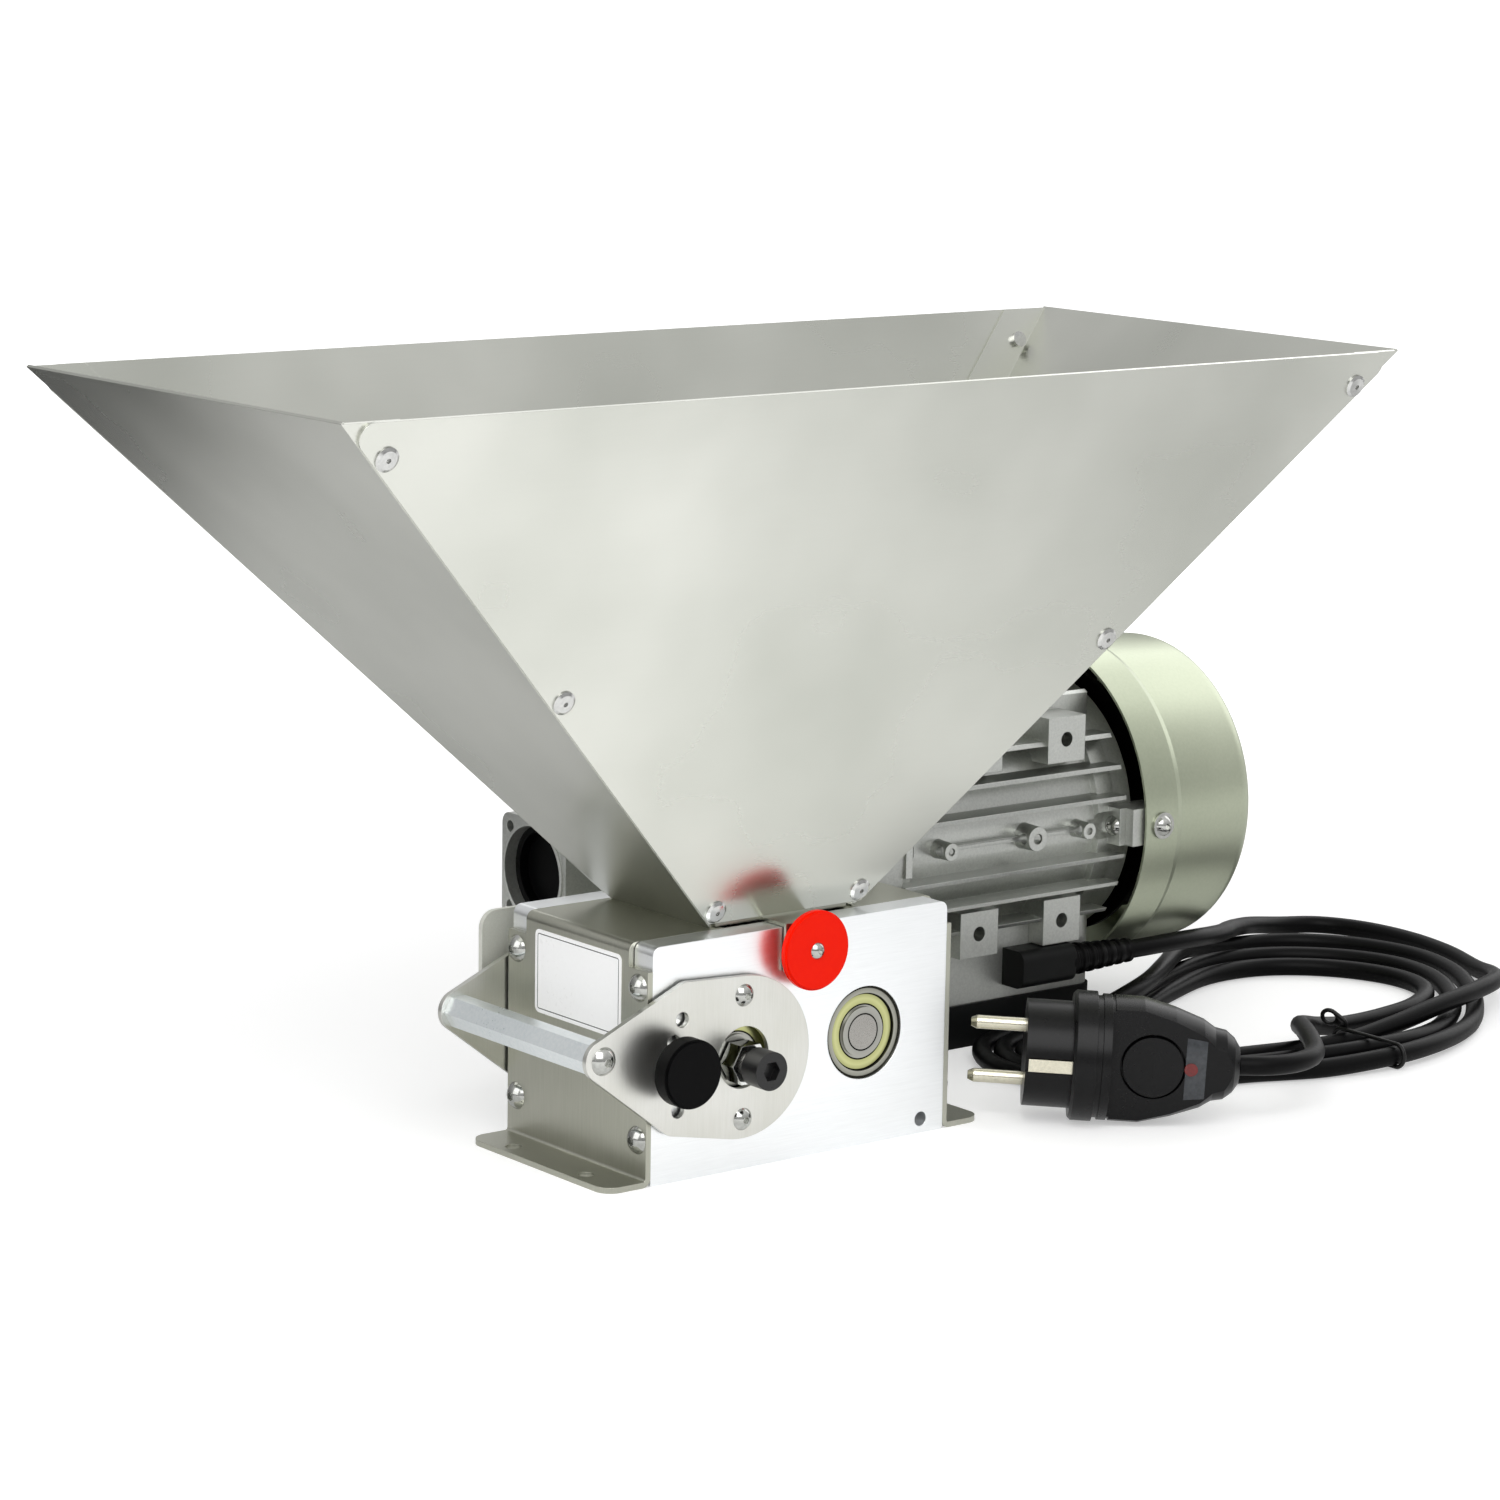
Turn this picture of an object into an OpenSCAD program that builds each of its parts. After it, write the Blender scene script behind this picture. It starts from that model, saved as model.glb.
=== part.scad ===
// Motor-driven two-roller grain mill with a sheet-metal hopper, millimetres, +Z up.
// Origin: on the table, under the middle of the mill body. +X points along the motor.

/* [Mill body] */
// Width of the front and rear plates
body_w = 125; // [115:1:150]
// Depth over both plates
body_d = 78; // [72:1:110]
// Height of the plates
body_h = 80; // [78:1:100]
// Thickness of the front and rear plates
plate_t = 10; // [10:0.5:12]
// Radius of the plates' upper corners
plate_corner_r = 3; // [1:0.5:5]
// Thickness of the folded side panels
panel_t = 2; // [1.5:0.5:2.5]
// Reach of each foot flange beyond the plates
foot_reach = 18; // [15:1:24]
// Distance between the two holes of a foot
foot_hole_pitch = 41; // [30:1:50]
// Diameter of the foot holes
foot_hole_d = 5.5; // [4:0.1:6.5]
// Diameter of the spare tapped hole in the front plate
spare_hole_d = 5; // [3:0.5:6]

/* [Rollers] */
// Height of the roller axes above the table
axis_h = 39; // [38:0.5:44]
// Distance between the axes of the drive bearing and the eccentric bushes
axis_pitch = 54; // [53.5:0.5:56]
// Diameter of both rollers
roller_d = 52.4; // [45:0.1:52.5]
// Number of flutes round a roller
flute_count = 48; // [16:1:60]
// Depth of a flute
flute_depth = 0.7; // [0.4:0.1:1.5]
// Diameter of both shafts
shaft_d = 12; // [8:0.5:12]
// Outer diameter of the ball bearings
bearing_d = 32; // [28:1:34]
// Width of the ball bearings
bearing_w = 9; // [7:0.5:9.5]
// Offset of the idler axis in its bush
eccentricity = 1.6; // [0.8:0.1:2.2]
// Outer diameter of the eccentric bushes
bush_d = 50; // [48:1:52]

/* [Gap lever] */
// Thickness of a lever plate
lever_t = 2; // [1.5:0.5:2.5]
// Radius of the round end of a lever
lever_r = 27.5; // [26.5:0.5:29]
// Distance from the bush axis to the handle bar
lever_reach = 57.6; // [52:0.2:70]
// Tilt of the lever above the horizontal
lever_tilt = 7; // [0:1:12]
// Radius of the arc of setting holes
setting_r = 30.3; // [29:0.1:32]
// Width across the flats of the hexagonal handle bar
bar_af = 10; // [8:0.5:12]
// Diameter of the black lock knob
lock_knob_d = 23; // [18:1:26]

/* [Feed gate] */
// Thickness of the gate sheet
gate_t = 1.2; // [0.8:0.1:1.5]
// Travel of the gate
gate_travel = 50; // [20:1:50]
// Diameter of the red gate knob
gate_knob_d = 27; // [18:1:28]

/* [Hopper] */
// Width of the hopper at its rim
hopper_w = 432; // [240:2:480]
// Depth of the hopper at its rim
hopper_d = 184; // [120:2:220]
// Height of the rim above the table
hopper_top = 264; // [200:1:320]
// Width of the hopper's outlet
outlet_w = 60.6; // [56:0.2:66]
// Thickness of the hopper sheet
sheet_t = 1; // [0.8:0.1:1.5]
// Width of the riveted flanges
flange_w = 15; // [12:1:20]

/* [Gearbox] */
// Distance between the worm axis and the wheel axis
worm_centre = 39; // [38:0.5:42]
// Half length of the gearbox housing along the worm
gear_half_l = 50; // [48:1:56]
// Half width of the gearbox housing along the wheel axis
gear_half_w = 35; // [34:1:40]
// Side of the square worm housing
worm_box = 38; // [36:1:39]
// Distance from the rear plate to the gearbox mounting plate
plate_gap = 7; // [6.5:0.5:12]
// Thickness of the gearbox mounting plate
mount_t = 2; // [1.5:0.5:4]

/* [Motor] */
// Length of the finned motor frame
frame_l = 106; // [100:1:130]
// Radius of the frame under its fins
frame_r = 48; // [46:1:49]
// Radius over the fin tips
fin_r = 58; // [56:1:59]
// Thickness of a fin
fin_t = 1.6; // [1.2:0.1:2.5]
// Distance between neighbouring fins
fin_pitch = 11; // [9:0.5:12]
// Radius of the fan cover at its rim
cover_r = 63; // [62:0.5:66]
// Length of the fan cover
cover_l = 61; // [50:1:70]

/* [Cord and plug] */
// Diameter of the mains cord
cord_d = 7; // [6:0.5:7]
// Radius of the plug's grip collar
collar_r = 22.5; // [21:0.5:23]

/* [Hidden] */
$fn = 64;

// clearances
slip = 0.02;          // between fixed round parts
running = 0.04;       // between a shaft or bush and its bore
gap = 0.5;            // between plain parts that move past each other
bearing_recess = 0.8; // bearing set back from the plate's face

// mill body
front_y = -body_d / 2;
rear_y = body_d / 2;
inner_d = body_d - 2 * plate_t;
drive_x = axis_pitch / 2;
idler_x = -axis_pitch / 2;
fold_r = panel_t + 1; // outer radius of a fold in the panels
screw_zs = [15, body_h - 14];
screw_head_d = 9.5;
screw_head_h = 2.75;
screw_d = 5;
notch_h = 8;          // height of the panels' notch beside the plates' tops
roller_l = inner_d - 2 * (bearing_recess + bearing_w - plate_t + 1.6);
lever_stand = 1;      // gap between a lever plate and its body plate
spare_hole_x = 52.6;
spare_hole_z = 5;

// hopper
gate_channel = 2;     // height of the gate's slot under the front wall
outlet_d = inner_d - 1.4;
wall_h = hopper_top - body_h;
front_run = (hopper_d - outlet_d) / 2;
side_run = (hopper_w - outlet_w) / 2;
front_slant = norm([front_run, wall_h]);
side_slant = norm([side_run, wall_h]);
front_lean = atan(front_run / wall_h);
side_lean = atan(side_run / wall_h);
rivet_fractions = [0.034, 0.48, 0.938];
rivet_inset = 6;      // from a wall's slanted edge, along the rim
rivet_head_d = 8;
rivet_d = 4;

// gap lever
corner_reach = 37.8;  // lever corners, from the bush axis
corner_spread = 42.5; // their angle from the lever's own axis
lever_apex = lever_reach + 13.8;
bush_screw_r = 21;
setting_angle = 177.5;
setting_step = 15;
idler_z = axis_h - eccentricity;
shaft_nut_af = 13;

// feed gate
gate_w = outlet_w - 5;
gate_z = body_h + 0.2;
tongue_w = 18;
tongue_drop = 15;
gate_knob_z = body_h - 7.8;
gate_front_y = front_y - gap - gate_t;
spacer_l = 2.8;
gate_knob_t = 3;

// gearbox and motor
gear_front_y = rear_y + plate_gap + mount_t;
gear_y = gear_front_y + gear_half_w;
worm_z = axis_h + worm_centre;
wheel_case_r = 37;
gear_end_x = drive_x + gear_half_l;
flange_x = gear_end_x + 10;
shield_l = 12;
frame_x = flange_x + shield_l;
frame_end_x = frame_x + frame_l;
rear_shield_l = 9;
cover_x = frame_end_x + 5;
fan_x = frame_end_x + rear_shield_l + 8;
pad_size = 18;
pad_z = 34;
pad_reach = 49;
pad_xs = [frame_x + 0.4 * frame_l, frame_x + 0.78 * frame_l];
boss_xs = [frame_x + 0.21 * frame_l, frame_x + 0.6 * frame_l, frame_x + 0.84 * frame_l];
boss_rs = [3.2, 4.5, 3];
boss_reach = 56;
ring_r = frame_r + 3;
ring_l = 8;
ear_r = 53;          // screws of the shields, from the motor's axis
ear_t = 3;
ear_angles = [0, 90, 270];
fan_r = cover_r - 12;
stator_r = 42;
rotor_r = 26;
air_gap = 1;
motor_shaft_d = 14;
box_x = frame_x + 4;
box_l = frame_l - 4;
box_half_w = 41;
lid_h = 16;
gland_x = frame_x + 61;
gland_l = 26;
gland_z = 21;
gland_size = 14;

// plug: its own axis runs along local +X from the collar to the tail
plug_x = 113;
plug_y = -59.7;
plug_turn = -40;      // direction of its tail, seen from above
plug_pitch = 2.5;     // nose up, because it lies on its collar and its belly
collar_w = 8;
plug_z = collar_r * cos(plug_pitch) + 0.1;
tail_l = 50;
plug_flat = 10;       // flat side with the rocker, from the plug's axis
rocker_d = 21;
rocker_x = 20;
rocker_pivot = plug_flat - 2.5;
lamp_x = 33;
tie_h = cord_d + 2.4;

// route of the cord's middle, from the gland to the plug's tail
cord_start = [gland_x + gland_l, gear_y - box_half_w - 6, gland_z + gland_size / 2];
tail_way = [cos(plug_turn) * cos(plug_pitch), sin(plug_turn) * cos(plug_pitch), -sin(plug_pitch)];
tail_end = [plug_x, plug_y, plug_z] + tail_l * tail_way;
route = [cord_start, [205, 34.8, 28.2], [224, 34, 28.4], [241, 35.5, 28], [257, 39.5, 26.6], [272, 47, 24.2],
    [288, 58, 21], [306, 73, 17], [325, 88, 12.5], [345, 100, 8.5], [366, 104.5, 5], [383, 99, 4], [393, 83, 3.6], [395, 59, 3.6], [390, 33, 3.6], [379, 8, 4],
    [364, -14, 8], [346, -31, 11.5], [324, -40, 12], [300, -45, 11], [276, -47, 8], [252, -46, 4.8], [228, -41, 3.6],
    [198, -35, 3.6], [168, -34, 3.6], [147.5, -25.5, 3.6], [139, -5.5, 3.6], [147.5, 14.5, 3.6], [167, 23, 4],
    [190, 25, 9], [212, 29, 13], [232, 39, 13.5], [254, 55, 12.5], [278, 73, 11], [303, 88, 7],
    [330, 93, 3.6], [354, 84, 3.6], [370, 64, 3.6], [376, 38, 3.6], [369, 12, 3.6], [354, -11, 3.6],
    [334, -33, 3.6], [310, -52, 3.6], [280, -66, 4.8], [250, -71, 4.8], [220, -66, 3.6], [193, -56, 3.6],
    [165, -48, 3.6], [135.5, -35.5, 3.6], [123, -5.5, 3.6], [135.5, 24.5, 3.6], [163, 37, 3.6],
    [190, 37, 3.6], [214, 39.5, 3.6], [240, 52, 3.6], [268, 68, 3.6], [298, 77, 3.6],
    [326, 73, 3.6], [347, 57, 3.6], [358, 34, 3.6], [355, 10, 3.6], [341, -13, 3.6], [320, -34, 3.6],
    [294, -50, 3.6], [266, -58, 4.8], [238, -56.5, 4.6], [212, -49, 3.6], [189, -43.5, 3.6], [166, -41, 3.6],
    [141.5, -30.5, 3.6], [131, -5.5, 3.6], [141.5, 19.5, 3.6], [165, 30, 3.6], [192, 30, 3.6], [222, 35, 3.6],
    [252, 49, 3.6], [284, 61, 3.6], [312, 59, 3.6], [333, 43, 3.6], [343, 19, 3.6], [337, -4, 3.6],
    [315, -19, 3.6], [290, -24.5, 3.6], [268, -27.5, 4.6], [252, -30.5, 7.2], [240, -35.5, 10.4], [229, -44, 13.6],
    [218, -57, 16.4], [205, -72.8, 18.4], [194, -86, 19.2], [187.8, -92.2, 19.4], [179.8, -96.9, 19.6],
    [169.9, -98.6, 19.8], [160, -96.9, 20.1], tail_end];

// ---- shared shapes ----

// corners of a convex outline, rounded by tangent arcs; radii holds one radius per corner
module rounded(pts, radii) {
    n = len(pts);
    corner = [for (i = [0:n - 1])
        let (p = pts[i], a = unit(pts[(i + n - 1) % n] - p), b = unit(pts[(i + 1) % n] - p),
            half = acos(a * b) / 2, r = radii[i])
        [p + a * r / tan(half), p + unit(a + b) * r / sin(half), p + b * r / tan(half)]];
    polygon([for (c = corner) each [c[0], c[2]]]);
    for (i = [0:n - 1]) if (radii[i] > 0) translate(corner[i][1]) circle(radii[i]);
}

function unit(v) = v / norm(v);
function polar(r, a) = [r * cos(a), r * sin(a)];

// an outline in X and Z, given its thickness along +Y
module along_y(t) { rotate([90, 0, 0]) mirror([0, 0, 1]) linear_extrude(t) children(); }

// an outline in Y and Z, given its thickness along +X
module along_x(t) { rotate([90, 0, 90]) linear_extrude(t) children(); }

module rod_y(d, l) { rotate([-90, 0, 0]) cylinder(d = d, h = l); }
module rod_x(d, l) { rotate([0, 90, 0]) cylinder(d = d, h = l); }

// button-head socket screw along -Z, head on +Z
module button_screw(d, l) {
    head_r = d * 0.95;
    difference() {
        union() {
            rotate_extrude() intersection() {
                translate([0, d * 0.55 - head_r * 1.15]) circle(head_r * 1.15);
                square([head_r, d * 0.55]);
            }
            translate([0, 0, -l]) cylinder(d = d, h = l + 0.5);
        }
        translate([0, 0, d * 0.2]) cylinder(d = d * 0.66, h = d, $fn = 6);
    }
}

module ball_bearing(d, bore, w) {
    ring = (d - bore) / 2;
    rotate_extrude() {
        translate([bore / 2, 0]) square([ring * 0.26, w]);
        translate([bore / 2 + ring * 0.2, w * 0.1]) square([ring * 0.6, w * 0.8]);
        translate([d / 2 - ring * 0.26, 0]) square([ring * 0.26, w]);
    }
}

// ---- mill body ----

module body_plate() {
    along_y(plate_t) rounded(
        [[-body_w / 2, 0], [body_w / 2, 0], [body_w / 2, body_h], [-body_w / 2, body_h]],
        [0, 0, plate_corner_r, plate_corner_r]);
}

// the bores that both plates share; y is the plate's outer face and dir points inwards
module plate_bores(y, dir) {
    translate([idler_x, y, axis_h]) rotate([-90 * dir, 0, 0]) translate([0, 0, -1])
        cylinder(d = bush_d + 2 * running, h = plate_t + 2);
    translate([drive_x, y, axis_h]) rotate([-90 * dir, 0, 0]) translate([0, 0, -1])
        cylinder(d = bearing_d + 2 * slip, h = plate_t + 2);
    for (side = [-1, 1], z = screw_zs)
        translate([side * (body_w / 2 + 1), y + dir * plate_t / 2, z]) rotate([0, -90 * side, 0])
            cylinder(d = screw_d + 2 * slip, h = 18);
}

module front_plate() {
    color("gainsboro") difference() {
        translate([0, front_y, 0]) body_plate();
        plate_bores(front_y, 1);
        translate([spare_hole_x, front_y - 1, spare_hole_z]) rod_y(spare_hole_d, plate_t + 2);
    }
}

module rear_plate() {
    color("gainsboro") difference() {
        translate([0, rear_y - plate_t, 0]) body_plate();
        plate_bores(rear_y, -1);
        for (p = spacer_places()) translate([p[0], rear_y + 1, p[1]]) mirror([0, 1, 0])
            rod_y(screw_d + 2 * slip, 9);
    }
}

// profile of a folded panel in X and Z, for the left side: foot, wall and top flange
module panel_profile() {
    wall_x = -body_w / 2 - panel_t;
    top_reach = body_w / 2 - gate_w / 2 + 2;
    translate([-body_w / 2 - foot_reach, 0]) square([foot_reach - fold_r + 0.01, panel_t]);
    translate([wall_x, fold_r - 0.01]) square([panel_t, body_h - 2 * fold_r + 0.02]);
    translate([wall_x + fold_r - 0.01, body_h - panel_t]) square([top_reach - fold_r + panel_t, panel_t]);
    translate([wall_x + panel_t - fold_r, fold_r]) fold(0);
    translate([wall_x + fold_r, body_h - fold_r]) mirror([1, 0]) fold(90);
}

// quarter ring of sheet in the lower right or upper right quadrant
module fold(turn) {
    rotate(turn) difference() {
        intersection() {
            circle(fold_r);
            translate([0, -fold_r]) square(fold_r);
        }
        circle(fold_r - panel_t);
    }
}

module side_panel() {
    wall_x = -body_w / 2 - panel_t;
    foot_x = -body_w / 2 - foot_reach;
    difference() {
        translate([0, front_y, 0]) along_y(body_d) panel_profile();
        // the upper part stands between the plates only
        for (y = [front_y - 1, rear_y - plate_t - 0.3])
            translate([wall_x - 1, y, body_h - notch_h])
                cube([body_w, plate_t + 1.3, notch_h + 1]);
        // rounded front and rear corners of the foot
        for (side = [-1, 1]) translate([foot_x, side * body_d / 2, -1]) difference() {
            translate([-0.01, side > 0 ? -6 : -0.01, 0]) cube([6, 6.02, panel_t + 2]);
            translate([6, -side * 6, -1]) cylinder(r = 6, h = panel_t + 4);
        }
        for (side = [-1, 1])
            translate([foot_x + foot_reach / 2 - 3.5, side * foot_hole_pitch / 2, -1])
                cylinder(d = foot_hole_d, h = panel_t + 2);
        for (y = [front_y + plate_t / 2, rear_y - plate_t / 2], z = screw_zs)
            translate([wall_x - 1, y, z]) rod_x(screw_d + 0.4, panel_t + 2);
    }
}

module left_panel() { color("darkgray") side_panel(); }

module right_panel() { color("darkgray") mirror([1, 0, 0]) side_panel(); }

module panel_screws() {
    color("silver")
    for (side = [-1, 1], y = [front_y + plate_t / 2, rear_y - plate_t / 2], z = screw_zs)
        translate([side * (body_w / 2 + panel_t), y, z]) rotate([0, 90 * side, 0])
            button_screw(screw_d, panel_t + 12);
}

// ---- hopper ----

// local frame of a hopper wall: x along the rim, y up the slope, z outwards
module front_wall_frame() { translate([0, -outlet_d / 2, body_h]) rotate([90 + front_lean, 0, 0]) children(); }
module left_wall_frame() {
    rotate([0, 0, -90]) translate([0, -outlet_w / 2, body_h]) rotate([90 + side_lean, 0, 0]) children();
}

// trapezoid of a wall, from start up the slope, drawn in by inset at the slanted edges
module wall_outline(half_low, half_high, slant, start, inset) {
    grow = (half_high - half_low) / slant;
    low = half_low + grow * start - inset;
    rounded([[-low, start], [low, start], [half_high - inset, slant], [inset - half_high, slant]],
        [0, 0, inset > 0 ? 0 : 5, inset > 0 ? 0 : 5]);
}

// where the rivets sit in a front or rear wall's own frame
function rivet_places() = [for (side = [-1, 1], f = rivet_fractions)
    [side * (outlet_w / 2 + side_run * f - rivet_inset), f * front_slant]];

module rivet_holes(z, depth) {
    for (p = rivet_places()) translate([p[0], p[1], z]) cylinder(d = rivet_d + 0.1, h = depth);
}

module long_wall() {
    start = gate_channel / cos(front_lean);
    difference() {
        front_wall_frame() translate([0, 0, -sheet_t]) linear_extrude(sheet_t)
            wall_outline(outlet_w / 2, hopper_w / 2, front_slant, start, 0);
        front_wall_frame() rivet_holes(-sheet_t - 1, sheet_t + 2);
    }
}

module short_wall() {
    flange_edge = unit([-side_run, front_slant]);
    across = flange_w / flange_edge[1];
    start = gate_channel / cos(front_lean) + 0.3;
    foot = -outlet_w / 2 - side_run * start / front_slant;
    left_wall_frame() translate([0, 0, -sheet_t]) linear_extrude(sheet_t)
        wall_outline(outlet_d / 2, hopper_d / 2, side_slant, 0, sheet_t * 1.1);
    for (side = [-1, 1]) scale([1, side, 1]) difference() {
        front_wall_frame() translate([0, 0, -2 * sheet_t]) linear_extrude(sheet_t)
            polygon([[foot, start], [foot + across, start], [-hopper_w / 2 + across, front_slant - 0.3],
                [-hopper_w / 2, front_slant - 0.3]]);
        front_wall_frame() rivet_holes(-2 * sheet_t - 1, sheet_t + 2);
    }
}

module hopper_front_wall() { color("lightgray") long_wall(); }
module hopper_rear_wall() { color("lightgray") mirror([0, 1, 0]) long_wall(); }
module hopper_left_wall() { color("lightgray") short_wall(); }
module hopper_right_wall() { color("lightgray") mirror([1, 0, 0]) short_wall(); }

module hopper_rivets() {
    color("white")
    for (side = [0, 1]) mirror([0, side, 0]) front_wall_frame() for (p = rivet_places())
        translate([p[0], p[1], 0]) rotate_extrude() {
            translate([0.8, 0]) square([rivet_head_d / 2 - 0.8, 0.5]);
            polygon([[0.8, 0.5], [rivet_head_d / 2, 0.5], [rivet_head_d / 2 - 1, 1.1], [0.8, 1.3]]);
            translate([0, -2 * sheet_t - 0.1]) square([rivet_d / 2, 2 * sheet_t + 0.2]);
            translate([0, -2 * sheet_t - 1.6]) square([rivet_d / 2 + 0.9, 1.6]);
        }
}

// ---- rollers ----

module fluted_roller(bore) {
    step = 360 / flute_count;
    root = roller_d / 2 - flute_depth;
    difference() {
        along_y(roller_l) polygon([for (i = [0:flute_count - 1]) each
            [polar(roller_d / 2, i * step), polar(roller_d / 2, (i + 0.45) * step), polar(root, (i + 0.7) * step)]]);
        translate([0, -1, 0]) rod_y(bore, roller_l + 2);
    }
}

module drive_roller() {
    color("dimgray") translate([drive_x, -roller_l / 2, axis_h]) fluted_roller(shaft_d + 2 * slip);
}

module idler_roller() {
    color("dimgray") translate([idler_x, -roller_l / 2, idler_z]) fluted_roller(shaft_d + 2 * slip);
}

module drive_shaft() {
    start = front_y + bearing_recess;
    color("slategray") translate([drive_x, start, axis_h])
        rod_y(shaft_d, gear_y + gear_half_w - 8 - start);
}

module drive_bearings() {
    color("khaki") for (y = [front_y + bearing_recess, rear_y - bearing_recess - bearing_w])
        translate([drive_x, y, axis_h]) rotate([-90, 0, 0])
            ball_bearing(bearing_d, shaft_d + 2 * running, bearing_w);
}

module idler_shaft() {
    nose = 14;
    color("silver") translate([idler_x, front_y - nose, idler_z]) {
        rod_y(8, nose + bearing_recess + 1);
        translate([0, nose + bearing_recess, 0]) rod_y(shaft_d, body_d - bearing_recess + 0.5);
    }
}

module idler_bearings() {
    color("khaki") for (y = [front_y + bearing_recess, rear_y - bearing_recess - bearing_w])
        translate([idler_x, y, idler_z]) rotate([-90, 0, 0])
            ball_bearing(bearing_d, shaft_d + 2 * running, bearing_w);
}

module shaft_nut() {
    color("white") difference() {
        translate([idler_x, front_y - 7, idler_z]) rotate([-90, 0, 0])
            cylinder(d = shaft_nut_af / cos(30), h = 7, $fn = 6);
        translate([idler_x, front_y - 8, idler_z]) rod_y(8 + 2 * slip, 9);
    }
}

// socket cap of the screw in the shaft's nose
module shaft_cap() {
    cap_l = 8;
    color("black") translate([idler_x, front_y - 10 - cap_l, idler_z]) difference() {
        rod_y(13, cap_l);
        translate([0, -1, 0]) rotate([-90, 0, 0]) cylinder(d = 7, h = 4, $fn = 6);
        translate([0, 4 - slip, 0]) rod_y(8 + 2 * slip, cap_l);
    }
}

// ---- gap lever ----

// front bush; the rear one is its mirror image
module eccentric_bush() {
    difference() {
        union() {
            translate([idler_x, front_y - lever_stand, axis_h]) rod_y(bush_d, plate_t + lever_stand);
        }
        translate([idler_x, front_y + bearing_recess, idler_z]) rod_y(bearing_d + 2 * slip, plate_t);
        translate([idler_x, front_y - lever_stand - 1, idler_z]) rod_y(bearing_d - 5, plate_t);
        for (side = [-1, 1]) translate([idler_x, front_y - lever_stand - 1, axis_h + side * bush_screw_r])
            rod_y(4 + 2 * slip, 7);
    }
}

module front_bush() { color("silver") eccentric_bush(); }
module rear_bush() { color("silver") mirror([0, 1, 0]) eccentric_bush(); }

// outline in X and Z about the bush axis
module lever_outline() {
    axis = 180 - lever_tilt;
    touch = acos(lever_r / corner_reach);
    circle(lever_r);
    rounded([polar(lever_r, axis - corner_spread - touch), polar(corner_reach, axis - corner_spread),
        polar(lever_apex, axis), polar(corner_reach, axis + corner_spread),
        polar(lever_r, axis + corner_spread + touch), [0, 0]], [0, 5, 7, 5, 0, 0]);
}

function bar_place() = polar(lever_reach, 180 - lever_tilt);

module lever_plate() {
    difference() {
        translate([idler_x, front_y - lever_stand - lever_t, axis_h]) along_y(lever_t) lever_outline();
        translate([idler_x, front_y, axis_h]) {
            translate([0, -lever_stand - lever_t - 1, 0]) rod_y(21, lever_t + 2);
            for (side = [-1, 1]) translate([0, -lever_stand - lever_t - 1, side * bush_screw_r])
                rod_y(4.3, lever_t + 2);
            for (i = [-2:2]) let (p = polar(setting_r, setting_angle + i * setting_step))
                translate([p[0], -lever_stand - lever_t - 1, p[1]]) rod_y(5.2, lever_t + 2);
            translate([bar_place()[0], -lever_stand - lever_t - 1, bar_place()[1]]) rod_y(screw_d + 0.2, lever_t + 2);
        }
    }
}

module front_lever() { color("darkgray") lever_plate(); }
module rear_lever() { color("darkgray") mirror([0, 1, 0]) lever_plate(); }

module lever_screws() {
    color("silver") for (end = [0, 1]) mirror([0, end, 0]) for (side = [-1, 1])
        translate([idler_x, front_y - lever_stand - lever_t, axis_h + side * bush_screw_r]) rotate([90, 0, 0])
            scale(0.8) button_screw(screw_d, (lever_t + 5) / 0.8);
}

module handle_bar() {
    half = body_d / 2 + lever_stand;
    color("lightsteelblue") translate([idler_x + bar_place()[0], -half, axis_h + bar_place()[1]])
        difference() {
            rotate([-90, 0, 0]) cylinder(d = bar_af / cos(30), h = 2 * half, $fn = 6);
            for (y = [-1, 2 * half - 11]) translate([0, y, 0]) rod_y(screw_d + 2 * slip, 12);
        }
}

module handle_screws() {
    color("silver") for (end = [0, 1]) mirror([0, end, 0])
        translate([idler_x + bar_place()[0], front_y - lever_stand - lever_t, axis_h + bar_place()[1]])
            rotate([90, 0, 0]) button_screw(screw_d, lever_t + 10);
}

function lock_place() = [idler_x, axis_h] + polar(setting_r, setting_angle);

module lock_knob() {
    color("black") translate([lock_place()[0], front_y - 9, lock_place()[1]]) rotate([90, 0, 0])
        rotate_extrude() {
            square([lock_knob_d / 2 - 0.8, 7]);
            translate([0, 0.8]) square([lock_knob_d / 2, 5.4]);
        }
}

module lock_screw() {
    color("silver") translate([lock_place()[0], front_y - 9 + slip, lock_place()[1]])
        rod_y(screw_d, 9 - 0.3);
}

// ---- feed gate ----

module feed_gate() {
    tongue_back = -inner_d / 2 + 2;
    color("silver") difference() {
        union() {
            translate([-gate_w / 2, tongue_back, gate_z]) cube([gate_w, inner_d - 4, gate_t]);
            translate([-tongue_w / 2, gate_front_y, gate_z])
                cube([tongue_w, tongue_back - gate_front_y + 1, gate_t]);
            translate([-tongue_w / 2, gate_front_y, gate_z - tongue_drop])
                cube([tongue_w, gate_t, tongue_drop + gate_t]);
        }
        translate([0, gate_front_y - 1, gate_knob_z]) rod_y(3.2, gate_t + 2);
    }
}

module gate_spacer() {
    color("black") difference() {
        translate([0, gate_front_y - spacer_l, gate_knob_z]) rod_y(9, spacer_l);
        translate([0, gate_front_y - spacer_l - 1, gate_knob_z]) rod_y(3.2, spacer_l + 2);
    }
}

module gate_knob() {
    color("red") difference() {
        translate([0, gate_front_y - spacer_l, gate_knob_z]) rotate([90, 0, 0]) rotate_extrude() {
            square([gate_knob_d / 2 - 0.6, gate_knob_t]);
            translate([0, 0.6]) square([gate_knob_d / 2, gate_knob_t - 1.2]);
        }
        translate([0, gate_front_y - spacer_l - gate_knob_t - 1, gate_knob_z]) rod_y(3.2, gate_knob_t + 2);
    }
}

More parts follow.
